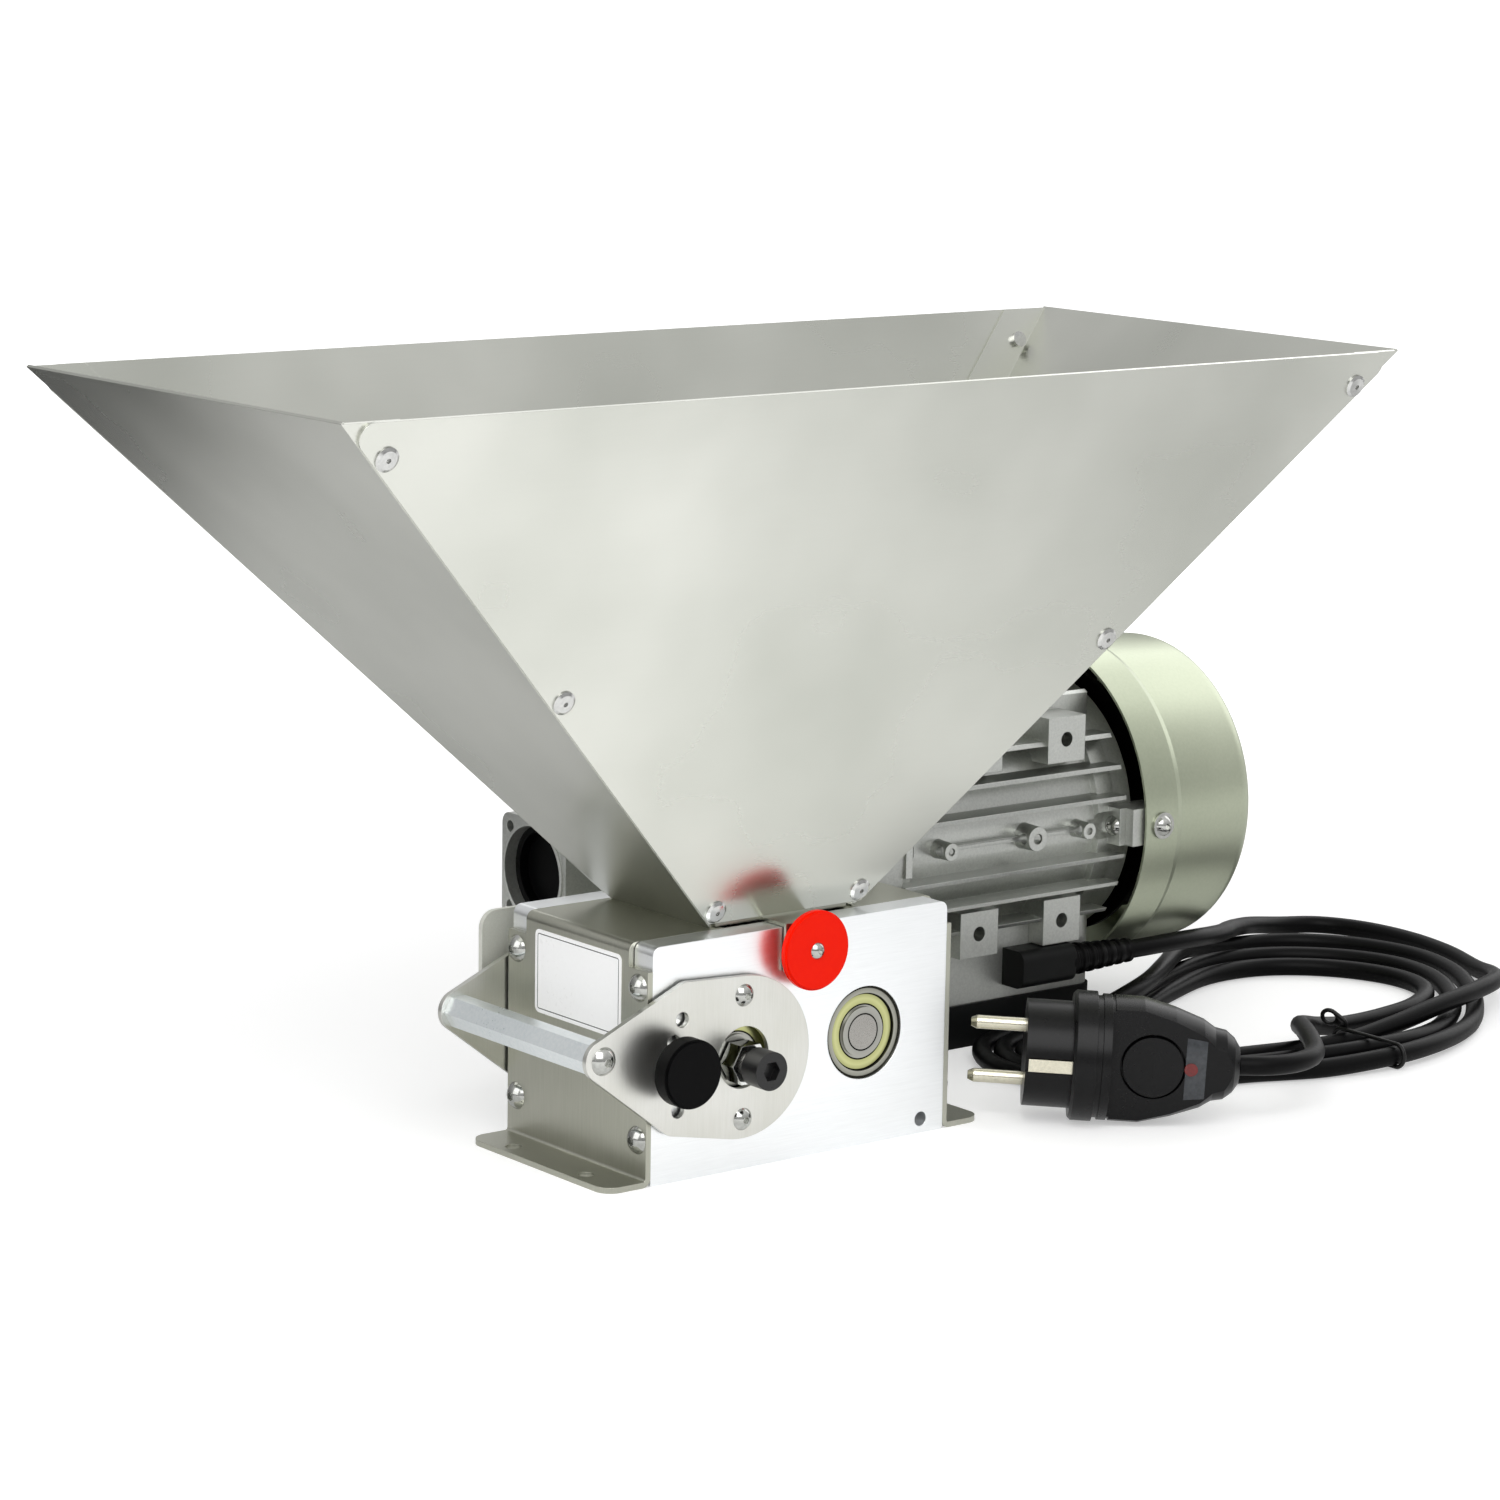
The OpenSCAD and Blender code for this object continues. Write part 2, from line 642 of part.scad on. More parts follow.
module gate_screw() {
    color("silver") translate([0, gate_front_y - spacer_l - gate_knob_t, gate_knob_z]) rotate([90, 0, 0])
        scale(0.6) button_screw(screw_d, (spacer_l + gate_knob_t + gate_t) / 0.6);
}

// ---- gearbox ----

// the four stand-offs between the rear plate and the mounting plate, in X and Z
function spacer_places() = [for (x = [drive_x - 8, drive_x + 28], z = [9, body_h - 9]) [x, z]];

// the four screws that hold the gearbox, round the output axis
function gear_screw_places() = [for (a = [45:90:315]) [drive_x, axis_h] + polar(30, a)];

module mount_plate() {
    left = -body_w / 2 - 8;
    right = drive_x + 44;
    color("darkgray") difference() {
        translate([0, rear_y + plate_gap, 0]) along_y(mount_t) rounded(
            [[drive_x - 36, 2], [right, 2], [right, body_h - 3], [left, body_h - 3], [left, body_h - 26]],
            [4, 6, 6, 6, 5]);
        translate([drive_x, rear_y, axis_h]) rod_y(28, plate_gap + mount_t + 1);
        for (p = concat(spacer_places(), gear_screw_places()))
            translate([p[0], rear_y, p[1]]) rod_y(screw_d + 0.4, plate_gap + mount_t + 1);
    }
}

module mount_spacers() {
    color("silver") for (p = spacer_places()) translate([p[0], rear_y, p[1]]) difference() {
        rod_y(9, plate_gap);
        translate([0, -1, 0]) rod_y(screw_d + 0.4, plate_gap + 2);
    }
}

module mount_screws() {
    color("silver") {
        for (p = spacer_places()) translate([p[0], gear_front_y, p[1]]) rotate([-90, 0, 0])
            button_screw(screw_d, plate_gap + mount_t + 7);
        for (p = gear_screw_places()) translate([p[0], rear_y + plate_gap, p[1]]) rotate([90, 0, 0])
            button_screw(screw_d, mount_t + 8);
    }
}

module worm_case() {
    translate([drive_x - gear_half_l, gear_y, worm_z]) along_x(2 * gear_half_l) rounded(
        [[-worm_box / 2, -worm_box / 2], [worm_box / 2, -worm_box / 2], [worm_box / 2, worm_box / 2],
            [-worm_box / 2, worm_box / 2]], [4, 4, 4, 4]);
}

module gear_housing() {
    neck = 30;
    cap_holes = 14.2;
    color("silver") difference() {
        union() {
            worm_case();
            // wheel case, its neck up to the worm case, and the front mounting boss
            translate([drive_x, gear_y - 24, axis_h]) rod_y(2 * wheel_case_r, 48);
            translate([drive_x - neck, gear_y - worm_box / 2, axis_h]) cube([2 * neck, worm_box, worm_centre]);
            translate([drive_x, gear_front_y, axis_h]) rod_y(74, gear_half_w);
            // motor flange
            translate([gear_end_x - 4, gear_y, worm_z]) rod_x(80, 14);
            // raised ring round the cap's bore
            translate([drive_x - gear_half_l - 0.8, gear_y, worm_z]) rod_x(35.5, 2);
        }
        // wheel chamber, open to the rear cover
        translate([drive_x, gear_y - 15, axis_h]) rod_y(60, gear_half_w + 20);
        translate([drive_x, gear_front_y - 1, axis_h]) rod_y(24 + 2 * running, gear_half_w);
        // worm chamber and shaft bores
        translate([drive_x - 36, gear_y, worm_z]) rod_x(25, 72);
        translate([drive_x - gear_half_l - 2, gear_y, worm_z]) rod_x(33, 14);
        translate([drive_x + 30, gear_y, worm_z]) rod_x(motor_shaft_d + 2, 60);
        for (y = [-cap_holes, cap_holes], z = [-cap_holes, cap_holes])
            translate([drive_x - gear_half_l - 2, gear_y + y, worm_z + z]) rod_x(4.2, 12);
        for (p = gear_screw_places()) translate([p[0], gear_front_y - 1, p[1]]) rod_y(screw_d + 2 * slip, 10);
        for (a = [30:60:330]) let (p = polar(33.5, a)) translate([drive_x + p[0], gear_y + 16, axis_h + p[1]])
            rod_y(4 + 2 * slip, 10);
        for (p = spacer_places()) translate([p[0], gear_front_y - 1, p[1]]) rod_y(11, 4.5);
    }
}

module gear_cover() {
    color("silver") difference() {
        translate([drive_x, gear_y, axis_h]) {
            translate([0, 24, 0]) rod_y(2 * wheel_case_r, 5);
            translate([0, 20, 0]) rod_y(60 - 2 * slip, 5);
            translate([0, 28, 0]) rod_y(44, gear_half_w - 28);
        }
        translate([drive_x, gear_y, axis_h]) rod_y(24 + 2 * running, gear_half_w + 1);
        for (a = [30:60:330]) translate([drive_x, gear_y, axis_h] + [polar(33.5, a)[0], 18, polar(33.5, a)[1]])
            rod_y(4.2, 20);
    }
}

module gear_cover_screws() {
    color("dimgray") for (a = [30:60:330])
        translate([drive_x, gear_y, axis_h] + [polar(33.5, a)[0], 29, polar(33.5, a)[1]]) rotate([-90, 0, 0])
            scale(0.8) button_screw(screw_d, 12 / 0.8);
}

module gear_cap() {
    color("black") translate([drive_x - gear_half_l + 4, gear_y, worm_z]) rotate([0, 90, 0]) rotate_extrude() {
        translate([0, 4]) square([33 / 2 - slip, 2]);
        translate([33 / 2 - 2.5, 0]) square([2.5 - slip, 6]);
    }
}

module worm() {
    pitch = 8;
    color("slategray") translate([drive_x - 30, gear_y, worm_z]) rotate([0, 90, 0]) rotate_extrude()
        polygon(concat([[0, 0], [6, 0], [6, 8]],
            [for (i = [0:4]) each [[8, 10 + i * pitch], [11, 12 + i * pitch], [11, 14 + i * pitch], [8, 16 + i * pitch]]],
            [[6, 52], [6, 60], [0, 60]]));
}

module worm_wheel() {
    teeth = 30;
    tip_r = worm_centre - 11 - 0.6;
    root_r = tip_r - 3;
    step = 360 / teeth;
    color("goldenrod") translate([drive_x, gear_y, axis_h]) difference() {
        union() {
            translate([0, -9, 0]) along_y(18) polygon([for (i = [0:teeth - 1]) each
                [polar(root_r, (i - 0.28) * step), polar(tip_r, (i - 0.13) * step),
                    polar(tip_r, (i + 0.13) * step), polar(root_r, (i + 0.28) * step)]]);
            translate([0, -gear_half_w + 1, 0]) rod_y(24, 2 * gear_half_w - 2);
        }
        translate([0, -gear_half_w - 1, 0]) rod_y(shaft_d + 2 * slip, 2 * gear_half_w + 2);
    }
}

// ---- motor ----

// pads on the frame's sides, where feet could be fixed
module motor_pads(clear) {
    for (side = [-1, 1], x = pad_xs, z = [-pad_z, pad_z])
        translate([x - pad_size / 2 - clear, side > 0 ? 30 - clear : -pad_reach - clear,
            z - pad_size / 2 + 0.5 - clear])
            cube([pad_size + 2 * clear, pad_reach - 30 + 2 * clear, pad_size - 1 + 2 * clear]);
}

module motor_fins() {
    half = floor(frame_r / fin_pitch) - 1;
    intersection() {
        rod_x(2 * fin_r, frame_l);
        union() {
            // level fins on both sides, upright fins on top
            for (i = [-half:half]) if (i != 0) translate([0, -fin_r, i * fin_pitch - fin_t / 2])
                cube([frame_l, 2 * fin_r, fin_t]);
            for (i = [-half:half]) translate([0, i * fin_pitch - fin_t / 2, 0]) cube([frame_l, fin_t, fin_r]);
        }
    }
}

module motor_bosses() {
    for (side = [0, 1]) mirror([0, side, 0]) {
        for (i = [0:2]) translate([boss_xs[i] - frame_x, 0, 0]) rotate([90, 0, 0])
            cylinder(r1 = boss_rs[i] + 2, r2 = boss_rs[i], h = boss_reach);
        translate([boss_xs[0] - frame_x, -boss_reach + 2.5, -1]) cube([boss_xs[2] - boss_xs[0], 14, 2]);
    }
}

module motor_frame() {
    color("silver") translate([frame_x, gear_y, worm_z]) difference() {
        union() {
            rod_x(2 * frame_r, frame_l);
            for (x = [0, frame_l - ring_l]) translate([x, 0, 0]) rod_x(2 * ring_r, ring_l);
            motor_fins();
            translate([-frame_x, 0, 0]) motor_pads(0);
            motor_bosses();
            for (a = ear_angles, x = [0, frame_l - ear_t]) rotate([a, 0, 0]) translate([x, -7, frame_r - 4])
                cube([ear_t, 14, ear_r + 8 - frame_r]);
        }
        translate([-1, 0, 0]) rod_x(2 * stator_r, frame_l + 2);
        // pockets for the shield screws' heads, and their holes
        for (a = ear_angles) rotate([a, 0, 0]) {
            for (x = [ear_t, frame_l - ear_t - 8]) translate([x, 0, ear_r]) {
                rod_x(11, 8);
                translate([0, -5.5, 0]) cube([8, 11, 10]);
            }
            translate([-1, 0, ear_r]) rod_x(4 + 2 * slip, frame_l + 2);
        }
        for (side = [-1, 1], x = pad_xs, z = [-pad_z, pad_z])
            translate([x - frame_x, side * (pad_reach + 1), z]) rotate([90 * side, 0, 0])
                cylinder(d = 5.5, h = 14);
        for (side = [0, 1], i = [0:2]) mirror([0, side, 0]) translate([boss_xs[i] - frame_x, -boss_reach - 1, 0])
            rod_y(boss_rs[i] * 0.9, 6);
    }
}

module stator() {
    color("peru") translate([frame_x + 18, gear_y, worm_z]) rotate([0, 90, 0]) rotate_extrude() {
        translate([rotor_r + air_gap, 8]) square([stator_r - slip - rotor_r - air_gap, frame_l - 52]);
        translate([rotor_r + air_gap + 2, 0]) square([9, frame_l - 36]);
    }
}

module rotor() {
    shaft_x = drive_x + 30;
    color("slategray") {
        translate([shaft_x, gear_y, worm_z]) rod_x(motor_shaft_d - 4, frame_x - shaft_x - 4);
        translate([frame_x - 5, gear_y, worm_z]) rod_x(motor_shaft_d, frame_l + 8);
        translate([frame_x + 28, gear_y, worm_z]) rod_x(2 * rotor_r, frame_l - 56);
        translate([frame_end_x + 2, gear_y, worm_z]) rod_x(10, 34);
    }
}

module motor_bearings() {
    color("khaki") for (x = [frame_x - 3, frame_end_x - 5])
        translate([x, gear_y, worm_z]) rotate([0, 90, 0]) ball_bearing(32, motor_shaft_d + 2 * running, 8);
}

// dished end shield with its bearing seat; the boss points away from the frame
module end_shield(r, l) {
    rotate([0, 90, 0]) difference() {
        union() {
            cylinder(r = r, h = l);
            translate([0, 0, -3]) cylinder(r = stator_r - slip, h = 4);
        }
        translate([0, 0, -4]) cylinder(d = 32 + 2 * slip, h = 9);
        translate([0, 0, -5]) cylinder(d = motor_shaft_d + 2, h = l + 10);
        translate([0, 0, -4]) difference() {
            cylinder(r = stator_r - 4, h = 6);
            translate([0, 0, -1]) cylinder(r = 20, h = 8);
        }
    }
}

module front_shield() {
    color("silver") translate([frame_x, gear_y, worm_z]) difference() {
        mirror([1, 0, 0]) end_shield(fin_r - 2, shield_l);
        for (a = ear_angles) rotate([a, 0, 0]) translate([-6, 0, ear_r]) rod_x(4 + 2 * slip, 7);
    }
}

module rear_shield() {
    lug_l = rear_shield_l + 7;
    color("silver") translate([frame_end_x, gear_y, worm_z]) difference() {
        union() {
            end_shield(frame_r + 2, rear_shield_l);
            for (a = [0:90:270]) rotate([a, 0, 0]) translate([0, -7, frame_r])
                cube([lug_l, 14, cover_r - frame_r - 2]);
        }
        for (a = [0:90:270]) rotate([a, 0, 0]) translate([cover_x - frame_end_x + 8, 0, frame_r + 3])
            cylinder(d = 4 + 2 * slip, h = 20);
        for (a = ear_angles) rotate([a, 0, 0]) translate([-1, 0, ear_r]) rod_x(4 + 2 * slip, 7);
    }
}

module shield_bolts() {
    color("silver") translate([frame_x, gear_y, worm_z]) for (a = ear_angles) rotate([a, 0, 0]) {
        translate([ear_t, 0, ear_r]) rotate([0, 90, 0]) scale(0.8) button_screw(screw_d, (ear_t + 5) / 0.8);
        translate([frame_l - ear_t, 0, ear_r]) rotate([0, -90, 0]) scale(0.8)
            button_screw(screw_d, (ear_t + 5) / 0.8);
    }
}

module fan() {
    blades = 8;
    color("black") translate([fan_x, gear_y, worm_z]) difference() {
        union() {
            rod_x(20, 20);
            rod_x(2 * fan_r, 2);
            for (a = [0:360 / blades:359]) rotate([a, 0, 0]) translate([1, -1, 8]) cube([17, 2, fan_r - 8.5]);
        }
        translate([-1, 0, 0]) rod_x(10 + 2 * slip, 25);
    }
}

module fan_cover() {
    wall = 1;
    step_l = 16;
    round_r = 9;
    end_r = cover_r - 1.2;
    color("darkseagreen") translate([cover_x, gear_y, worm_z]) difference() {
        rotate([0, 90, 0]) rotate_extrude() {
            // rim band, small step, tapering skirt, rounded edge and flat end
            difference() {
                cover_profile(cover_r, end_r, step_l, round_r, cover_l);
                translate([0, -0.01]) cover_profile(cover_r - wall, end_r - wall, step_l, round_r - wall, cover_l - wall);
            }
        }
        // air inlet: rings of holes in the flat end
        for (ring = [[0, 1], [8, 6], [16, 12], [24, 18], [32, 24], [40, 30]]) for (i = [0:ring[1] - 1])
            rotate([i * 360 / ring[1], 0, 0]) translate([cover_l - 3, 0, ring[0]]) rod_x(5.5, 6);
        for (a = [0:90:270]) rotate([a, 0, 0]) translate([8, 0, cover_r - 5]) cylinder(d = 5, h = 8);
    }
}

// half section of the cover's solid: radius out, length up
module cover_profile(rim_r, end_r, step_l, round_r, l) {
    taper = 3;
    polygon([[0, 0], [rim_r, 0], [rim_r, step_l], [end_r, step_l + 3], [end_r - taper + 0.5, l - round_r],
        [end_r - taper - round_r + 0.5, l], [0, l]]);
    translate([end_r - taper - round_r + 0.5, l - round_r]) circle(round_r);
}

module fan_cover_screws() {
    color("silver") translate([cover_x, gear_y, worm_z]) for (a = [0:90:270]) rotate([a, 0, 0])
        translate([8, 0, cover_r]) {
            cylinder(r = 5, h = 0.9);
            translate([0, 0, 0.9]) scale(0.8) button_screw(screw_d, 11 / 0.8);
        }
}

module terminal_box() {
    top = worm_z - frame_r * 0.72;
    color("silver") difference() {
        translate([box_x, gear_y - box_half_w, 0]) translate([0, 0, lid_h]) linear_extrude(top - lid_h)
            rounded([[0, 0], [box_l, 0], [box_l, 2 * box_half_w], [0, 2 * box_half_w]], [6, 6, 6, 6]);
        translate([frame_x - 1, gear_y, worm_z]) rod_x(2 * frame_r + 0.1, frame_l + 2);
        for (x = [frame_x - 0.05, frame_end_x - ring_l - 0.05]) translate([x, gear_y, worm_z])
            rod_x(2 * ring_r + 0.1, ring_l + 0.1);
        translate([0, gear_y, worm_z]) motor_pads(0.05);
        // fins that reach down to the box
        translate([frame_x, gear_y - fin_r, worm_z - 3 * fin_pitch - fin_t / 2 - 0.05])
            cube([frame_l, 2 * fin_r, fin_t + 0.1]);
        // wiring space
        translate([box_x + 4, gear_y - box_half_w + 4, lid_h - 1]) cube([box_l - 8, 2 * box_half_w - 8, 12]);
    }
}

module terminal_lid() {
    color("black") difference() {
        translate([box_x - 1, gear_y - box_half_w - 1, 0]) linear_extrude(lid_h)
            rounded([[0, 0], [box_l + 2, 0], [box_l + 2, 2 * box_half_w + 2], [0, 2 * box_half_w + 2]], [7, 7, 7, 7]);
        translate([box_x + 3, gear_y - box_half_w + 3, 3]) cube([box_l - 6, 2 * box_half_w - 6, lid_h]);
    }
}

// moulded elbow on the box's front wall; the cord leaves it along +X
module cable_gland() {
    reach = 12;
    color("black") translate([gland_x, gear_y - box_half_w - reach, gland_z]) along_x(gland_l)
        rounded([[0, 0], [reach, 0], [reach, gland_size], [0, gland_size]], [4, 0, 0, 4]);
}

// ---- cord and plug ----

// tube of cord_d along the route: one ring of points at each route point
module power_cord() {
    sides = 8;
    n = len(route);
    rings = [for (i = [0:n - 1])
        let (ahead = route[min(i + 1, n - 1)] - route[max(i - 1, 0)],
            u = i == 0 ? [1, 0, 0] : i == n - 1 ? -tail_way : unit(ahead),
            level = unit(cross([0, 0, 1], u)), up = cross(u, level))
        [for (k = [0:sides - 1]) route[i] + cord_d / 2 * (level * cos(k * 360 / sides) + up * sin(k * 360 / sides))]];
    points = [for (r = rings) each r];
    quads = [for (i = [0:n - 2], k = [0:sides - 1])
        [i * sides + k, i * sides + (k + 1) % sides, (i + 1) * sides + (k + 1) % sides, (i + 1) * sides + k]];
    color("black") polyhedron(points, concat([[for (k = [sides - 1:-1:0]) k]], quads,
        [[for (k = [0:sides - 1]) (n - 1) * sides + k]]));
}

module cord_tie() {
    color("black") translate([250, -58.6, tie_h / 2 + 0.1]) rotate([0, 90, 0]) linear_extrude(3) difference() {
        square([tie_h, 3 * cord_d + 15], center = true);
        square([cord_d + 0.4, 3 * cord_d + 13], center = true);
    }
}

module plug_frame() { translate([plug_x, plug_y, plug_z]) rotate([0, plug_pitch, plug_turn]) children(); }

module plug_body() {
    nose_r = 18.5;
    belly_r = collar_r - 0.7;
    color("black") plug_frame() difference() {
        union() {
            translate([-24, 0, 0]) rod_x(2 * nose_r, 18);
            // collar with two finger grooves, then the grip, which narrows to a rounded tail
            intersection() {
                translate([-collar_w, -collar_r, -collar_r]) cube([collar_w + 2, 2 * collar_r, 2 * collar_r]);
                rotate([0, 90, 0]) translate([0, 0, -collar_w]) rotate_extrude() polygon([[0, 0], [collar_r - 1, 0],
                    [collar_r, 1], [collar_r, collar_w], [collar_r - 1.4, collar_w], [collar_r - 1.4, collar_w + 2],
                    [0, collar_w + 2]]);
            }
            intersection() {
                translate([1, -plug_flat, -collar_r]) cube([tail_l, plug_flat + 15, 2 * collar_r]);
                rotate([0, 90, 0]) translate([0, 0, 1]) rotate_extrude() polygon([[0, 0], [belly_r - 0.7, 0],
                    [belly_r - 0.7, 1], [belly_r, 1], [belly_r, 4], [belly_r - 0.7, 4], [belly_r - 0.7, 5],
                    [belly_r, 5], [belly_r, 15], [belly_r - 2.8, 26], [15.4, 36], [12.8, 40], [12, 44],
                    [9.6, 47], [6.5, tail_l - 1], [0, tail_l - 1]]);
            }
            // rim of the collar's front half stands past the flat
            translate([2, 0, 0]) rod_x(2 * belly_r, 3);
        }
        translate([rocker_x, -plug_flat + 5.5, 0]) rotate([90, 0, 0]) cylinder(d = rocker_d + 1.6, h = 10);
        translate([rocker_x, -rocker_pivot, -rocker_d / 2 - 2.1])
            cylinder(d = 2 + 2 * running, h = rocker_d + 4.2);
        translate([lamp_x, -plug_flat + 1.5, 0]) rotate([90, 0, 0]) cylinder(d = 4.6, h = 3);
        for (z = [-9.5, 9.5]) translate([-30, 0, z]) rod_x(4.8 + 2 * slip, 20);
        for (side = [-1, 1]) translate([-25, side * (nose_r - 0.6) - 1.2, -2.5]) cube([18, 2.4, 5]);
    }
}

module plug_contacts() {
    nose_r = 18.5;
    color("silver") plug_frame() {
        for (z = [-9.5, 9.5]) {
            translate([-41, 0, z]) rod_x(4.8, 30);
            translate([-43, 0, z]) rotate([0, 90, 0]) cylinder(d1 = 3, d2 = 4.8, h = 2);
        }
        for (side = [-1, 1]) translate([-23, side * (nose_r - 0.6) - 1, -2.2]) cube([15, 2, 4.4]);
    }
}

// round rocker whose face is two facets that meet in a low ridge
module plug_switch() {
    r = rocker_d / 2;
    color("black") plug_frame() {
        intersection() {
            translate([rocker_x, -rocker_pivot + 1, 0]) rotate([90, 0, 0]) cylinder(r = r, h = 5);
            translate([rocker_x, -rocker_pivot + 1, -r]) linear_extrude(rocker_d)
                polygon([[-r, 0], [-r, -3.6], [0, -4.8], [r, -3.6], [r, 0]]);
        }
        translate([rocker_x, -rocker_pivot, -r - 2]) cylinder(d = 2, h = rocker_d + 4);
    }
}

module plug_lamp() {
    color("darkred") plug_frame() translate([lamp_x, -plug_flat + 1.5, 0]) rotate([90, 0, 0])
        cylinder(d = 4.6 - 2 * slip, h = 2.3);
}

front_plate();
rear_plate();
left_panel();
right_panel();
panel_screws();
hopper_front_wall();
hopper_rear_wall();
hopper_left_wall();
hopper_right_wall();
hopper_rivets();
drive_roller();
drive_shaft();
drive_bearings();
idler_roller();
idler_shaft();
idler_bearings();
front_bush();
rear_bush();
front_lever();
rear_lever();
lever_screws();
handle_bar();
handle_screws();
shaft_nut();
shaft_cap();
lock_knob();
lock_screw();
feed_gate();
gate_spacer();
gate_knob();
gate_screw();
mount_plate();
mount_spacers();
mount_screws();
gear_housing();
gear_cover();
gear_cover_screws();
gear_cap();
worm();
worm_wheel();
motor_frame();
stator();
rotor();
motor_bearings();
front_shield();
rear_shield();
shield_bolts();
fan();
fan_cover();
fan_cover_screws();
terminal_box();
terminal_lid();
cable_gland();
power_cord();
cord_tie();
plug_body();
plug_contacts();
plug_switch();
plug_lamp();
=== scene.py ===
import math

import bpy
from mathutils import Matrix, Vector


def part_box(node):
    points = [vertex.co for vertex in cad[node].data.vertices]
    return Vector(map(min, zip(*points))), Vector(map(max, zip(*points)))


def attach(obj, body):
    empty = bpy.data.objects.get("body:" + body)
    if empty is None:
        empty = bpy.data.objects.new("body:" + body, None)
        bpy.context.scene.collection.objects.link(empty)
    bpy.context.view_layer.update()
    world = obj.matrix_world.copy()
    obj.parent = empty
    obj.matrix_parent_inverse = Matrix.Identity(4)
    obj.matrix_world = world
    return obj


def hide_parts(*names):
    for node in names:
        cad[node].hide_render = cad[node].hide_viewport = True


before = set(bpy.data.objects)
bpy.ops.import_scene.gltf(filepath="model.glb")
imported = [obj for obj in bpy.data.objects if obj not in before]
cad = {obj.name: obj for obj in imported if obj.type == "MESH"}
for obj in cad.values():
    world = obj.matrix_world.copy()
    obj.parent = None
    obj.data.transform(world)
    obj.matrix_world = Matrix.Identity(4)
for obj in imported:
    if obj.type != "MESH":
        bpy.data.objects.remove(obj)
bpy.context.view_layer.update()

# ---- Camera ----
# A studio camera with a long lens. It stands 1.5 m away, to the front and left of the mill
# and higher than the hopper's rim, and looks slightly down on it.

MM = 0.001
CAMERA_PLACE = (-925.4, -1179.6, 416.2)
CAMERA_TURN = 38.318   # degrees from +Y towards +X
CAMERA_DOWN = 10.717
CAMERA_ROLL = 0.934
CAMERA_LENS = 109.1    # focal length
CAMERA_SENSOR = 36     # width of the picture in the camera
CAMERA_NEAR = 50
CAMERA_FAR = 200000

lens = bpy.data.cameras.new("studio_camera")
lens.lens = CAMERA_LENS
lens.sensor_width = CAMERA_SENSOR
lens.clip_start = CAMERA_NEAR * MM
lens.clip_end = CAMERA_FAR * MM
camera = bpy.data.objects.new("studio_camera", lens)
camera.matrix_world = (
    Matrix.Translation(Vector(CAMERA_PLACE) * MM)
    @ Matrix.Rotation(math.radians(-CAMERA_TURN), 4, "Z")
    @ Matrix.Rotation(math.radians(90 - CAMERA_DOWN), 4, "X")
    @ Matrix.Rotation(math.radians(CAMERA_ROLL), 4, "Z")
)
bpy.context.scene.collection.objects.link(camera)
bpy.context.scene.camera = camera
bpy.context.scene.view_settings.view_transform = "Standard"

# ---- Mains cord ----
# A round three-core rubber cord, 7 mm thick. It leaves the gland of the terminal box,
# lies on the table in loose loops and ends in the plug.

CORD_D = 7
CORD_LOW = 3.55        # lowest height of its middle line: it rests on the table
CORD_STEPS = 6         # points of the smooth line for each stretch of the route
TAIL_END = (151.266, -91.809, 20.398)
# The middle line, the same as in the part's source.
ROUTE = [(186, 36, 28), (205, 34.8, 28.2), (224, 34, 28.4), (241, 35.5, 28), (257, 39.5, 26.6),
         (272, 47, 24.2), (288, 58, 21), (306, 73, 17), (325, 88, 12.5), (345, 100, 8.5),
         (366, 104.5, 5), (383, 99, 4), (393, 83, 3.6),
         (395, 59, 3.6), (390, 33, 3.6), (379, 8, 4), (364, -14, 8), (346, -31, 11.5),
         (324, -40, 12), (300, -45, 11), (276, -47, 8), (252, -46, 4.8), (228, -41, 3.6),
         (198, -35, 3.6), (168, -34, 3.6), (147.5, -25.5, 3.6), (139, -5.5, 3.6),
         (147.5, 14.5, 3.6), (167, 23, 4), (190, 25, 9), (212, 29, 13), (232, 39, 13.5),
         (254, 55, 12.5), (278, 73, 11), (303, 88, 7), (330, 93, 3.6), (354, 84, 3.6),
         (370, 64, 3.6), (376, 38, 3.6), (369, 12, 3.6), (354, -11, 3.6), (334, -33, 3.6),
         (310, -52, 3.6), (280, -66, 4.8), (250, -71, 4.8), (220, -66, 3.6), (193, -56, 3.6),
         (165, -48, 3.6), (135.5, -35.5, 3.6), (123, -5.5, 3.6), (135.5, 24.5, 3.6),
         (163, 37, 3.6), (190, 37, 3.6), (214, 39.5, 3.6), (240, 52, 3.6), (268, 68, 3.6),
         (298, 77, 3.6), (326, 73, 3.6), (347, 57, 3.6), (358, 34, 3.6), (355, 10, 3.6),
         (341, -13, 3.6), (320, -34, 3.6), (294, -50, 3.6), (266, -58, 4.8), (238, -56.5, 4.6),
         (212, -49, 3.6), (189, -43.5, 3.6), (166, -41, 3.6), (141.5, -30.5, 3.6),
         (131, -5.5, 3.6), (141.5, 19.5, 3.6), (165, 30, 3.6), (192, 30, 3.6), (222, 35, 3.6),
         (252, 49, 3.6), (284, 61, 3.6), (312, 59, 3.6), (333, 43, 3.6), (343, 19, 3.6),
         (337, -4, 3.6), (315, -19, 3.6), (290, -24.5, 3.6), (268, -27.5, 4.6),
         (252, -30.5, 7.2), (240, -35.5, 10.4), (229, -44, 13.6), (218, -57, 16.4),
         (205, -72.8, 18.4), (194, -86, 19.2), (187.8, -92.2, 19.4), (179.8, -96.9, 19.6),
         (169.9, -98.6, 19.8), (160, -96.9, 20.1), TAIL_END]


def linear(colour):
    """The linear colour, with alpha, of an sRGB hex string."""
    parts = [int(colour[i:i + 2], 16) / 255 for i in (1, 3, 5)]
    return [p / 12.92 if p <= 0.04045 else ((p + 0.055) / 1.055) ** 2.4 for p in parts] + [1]


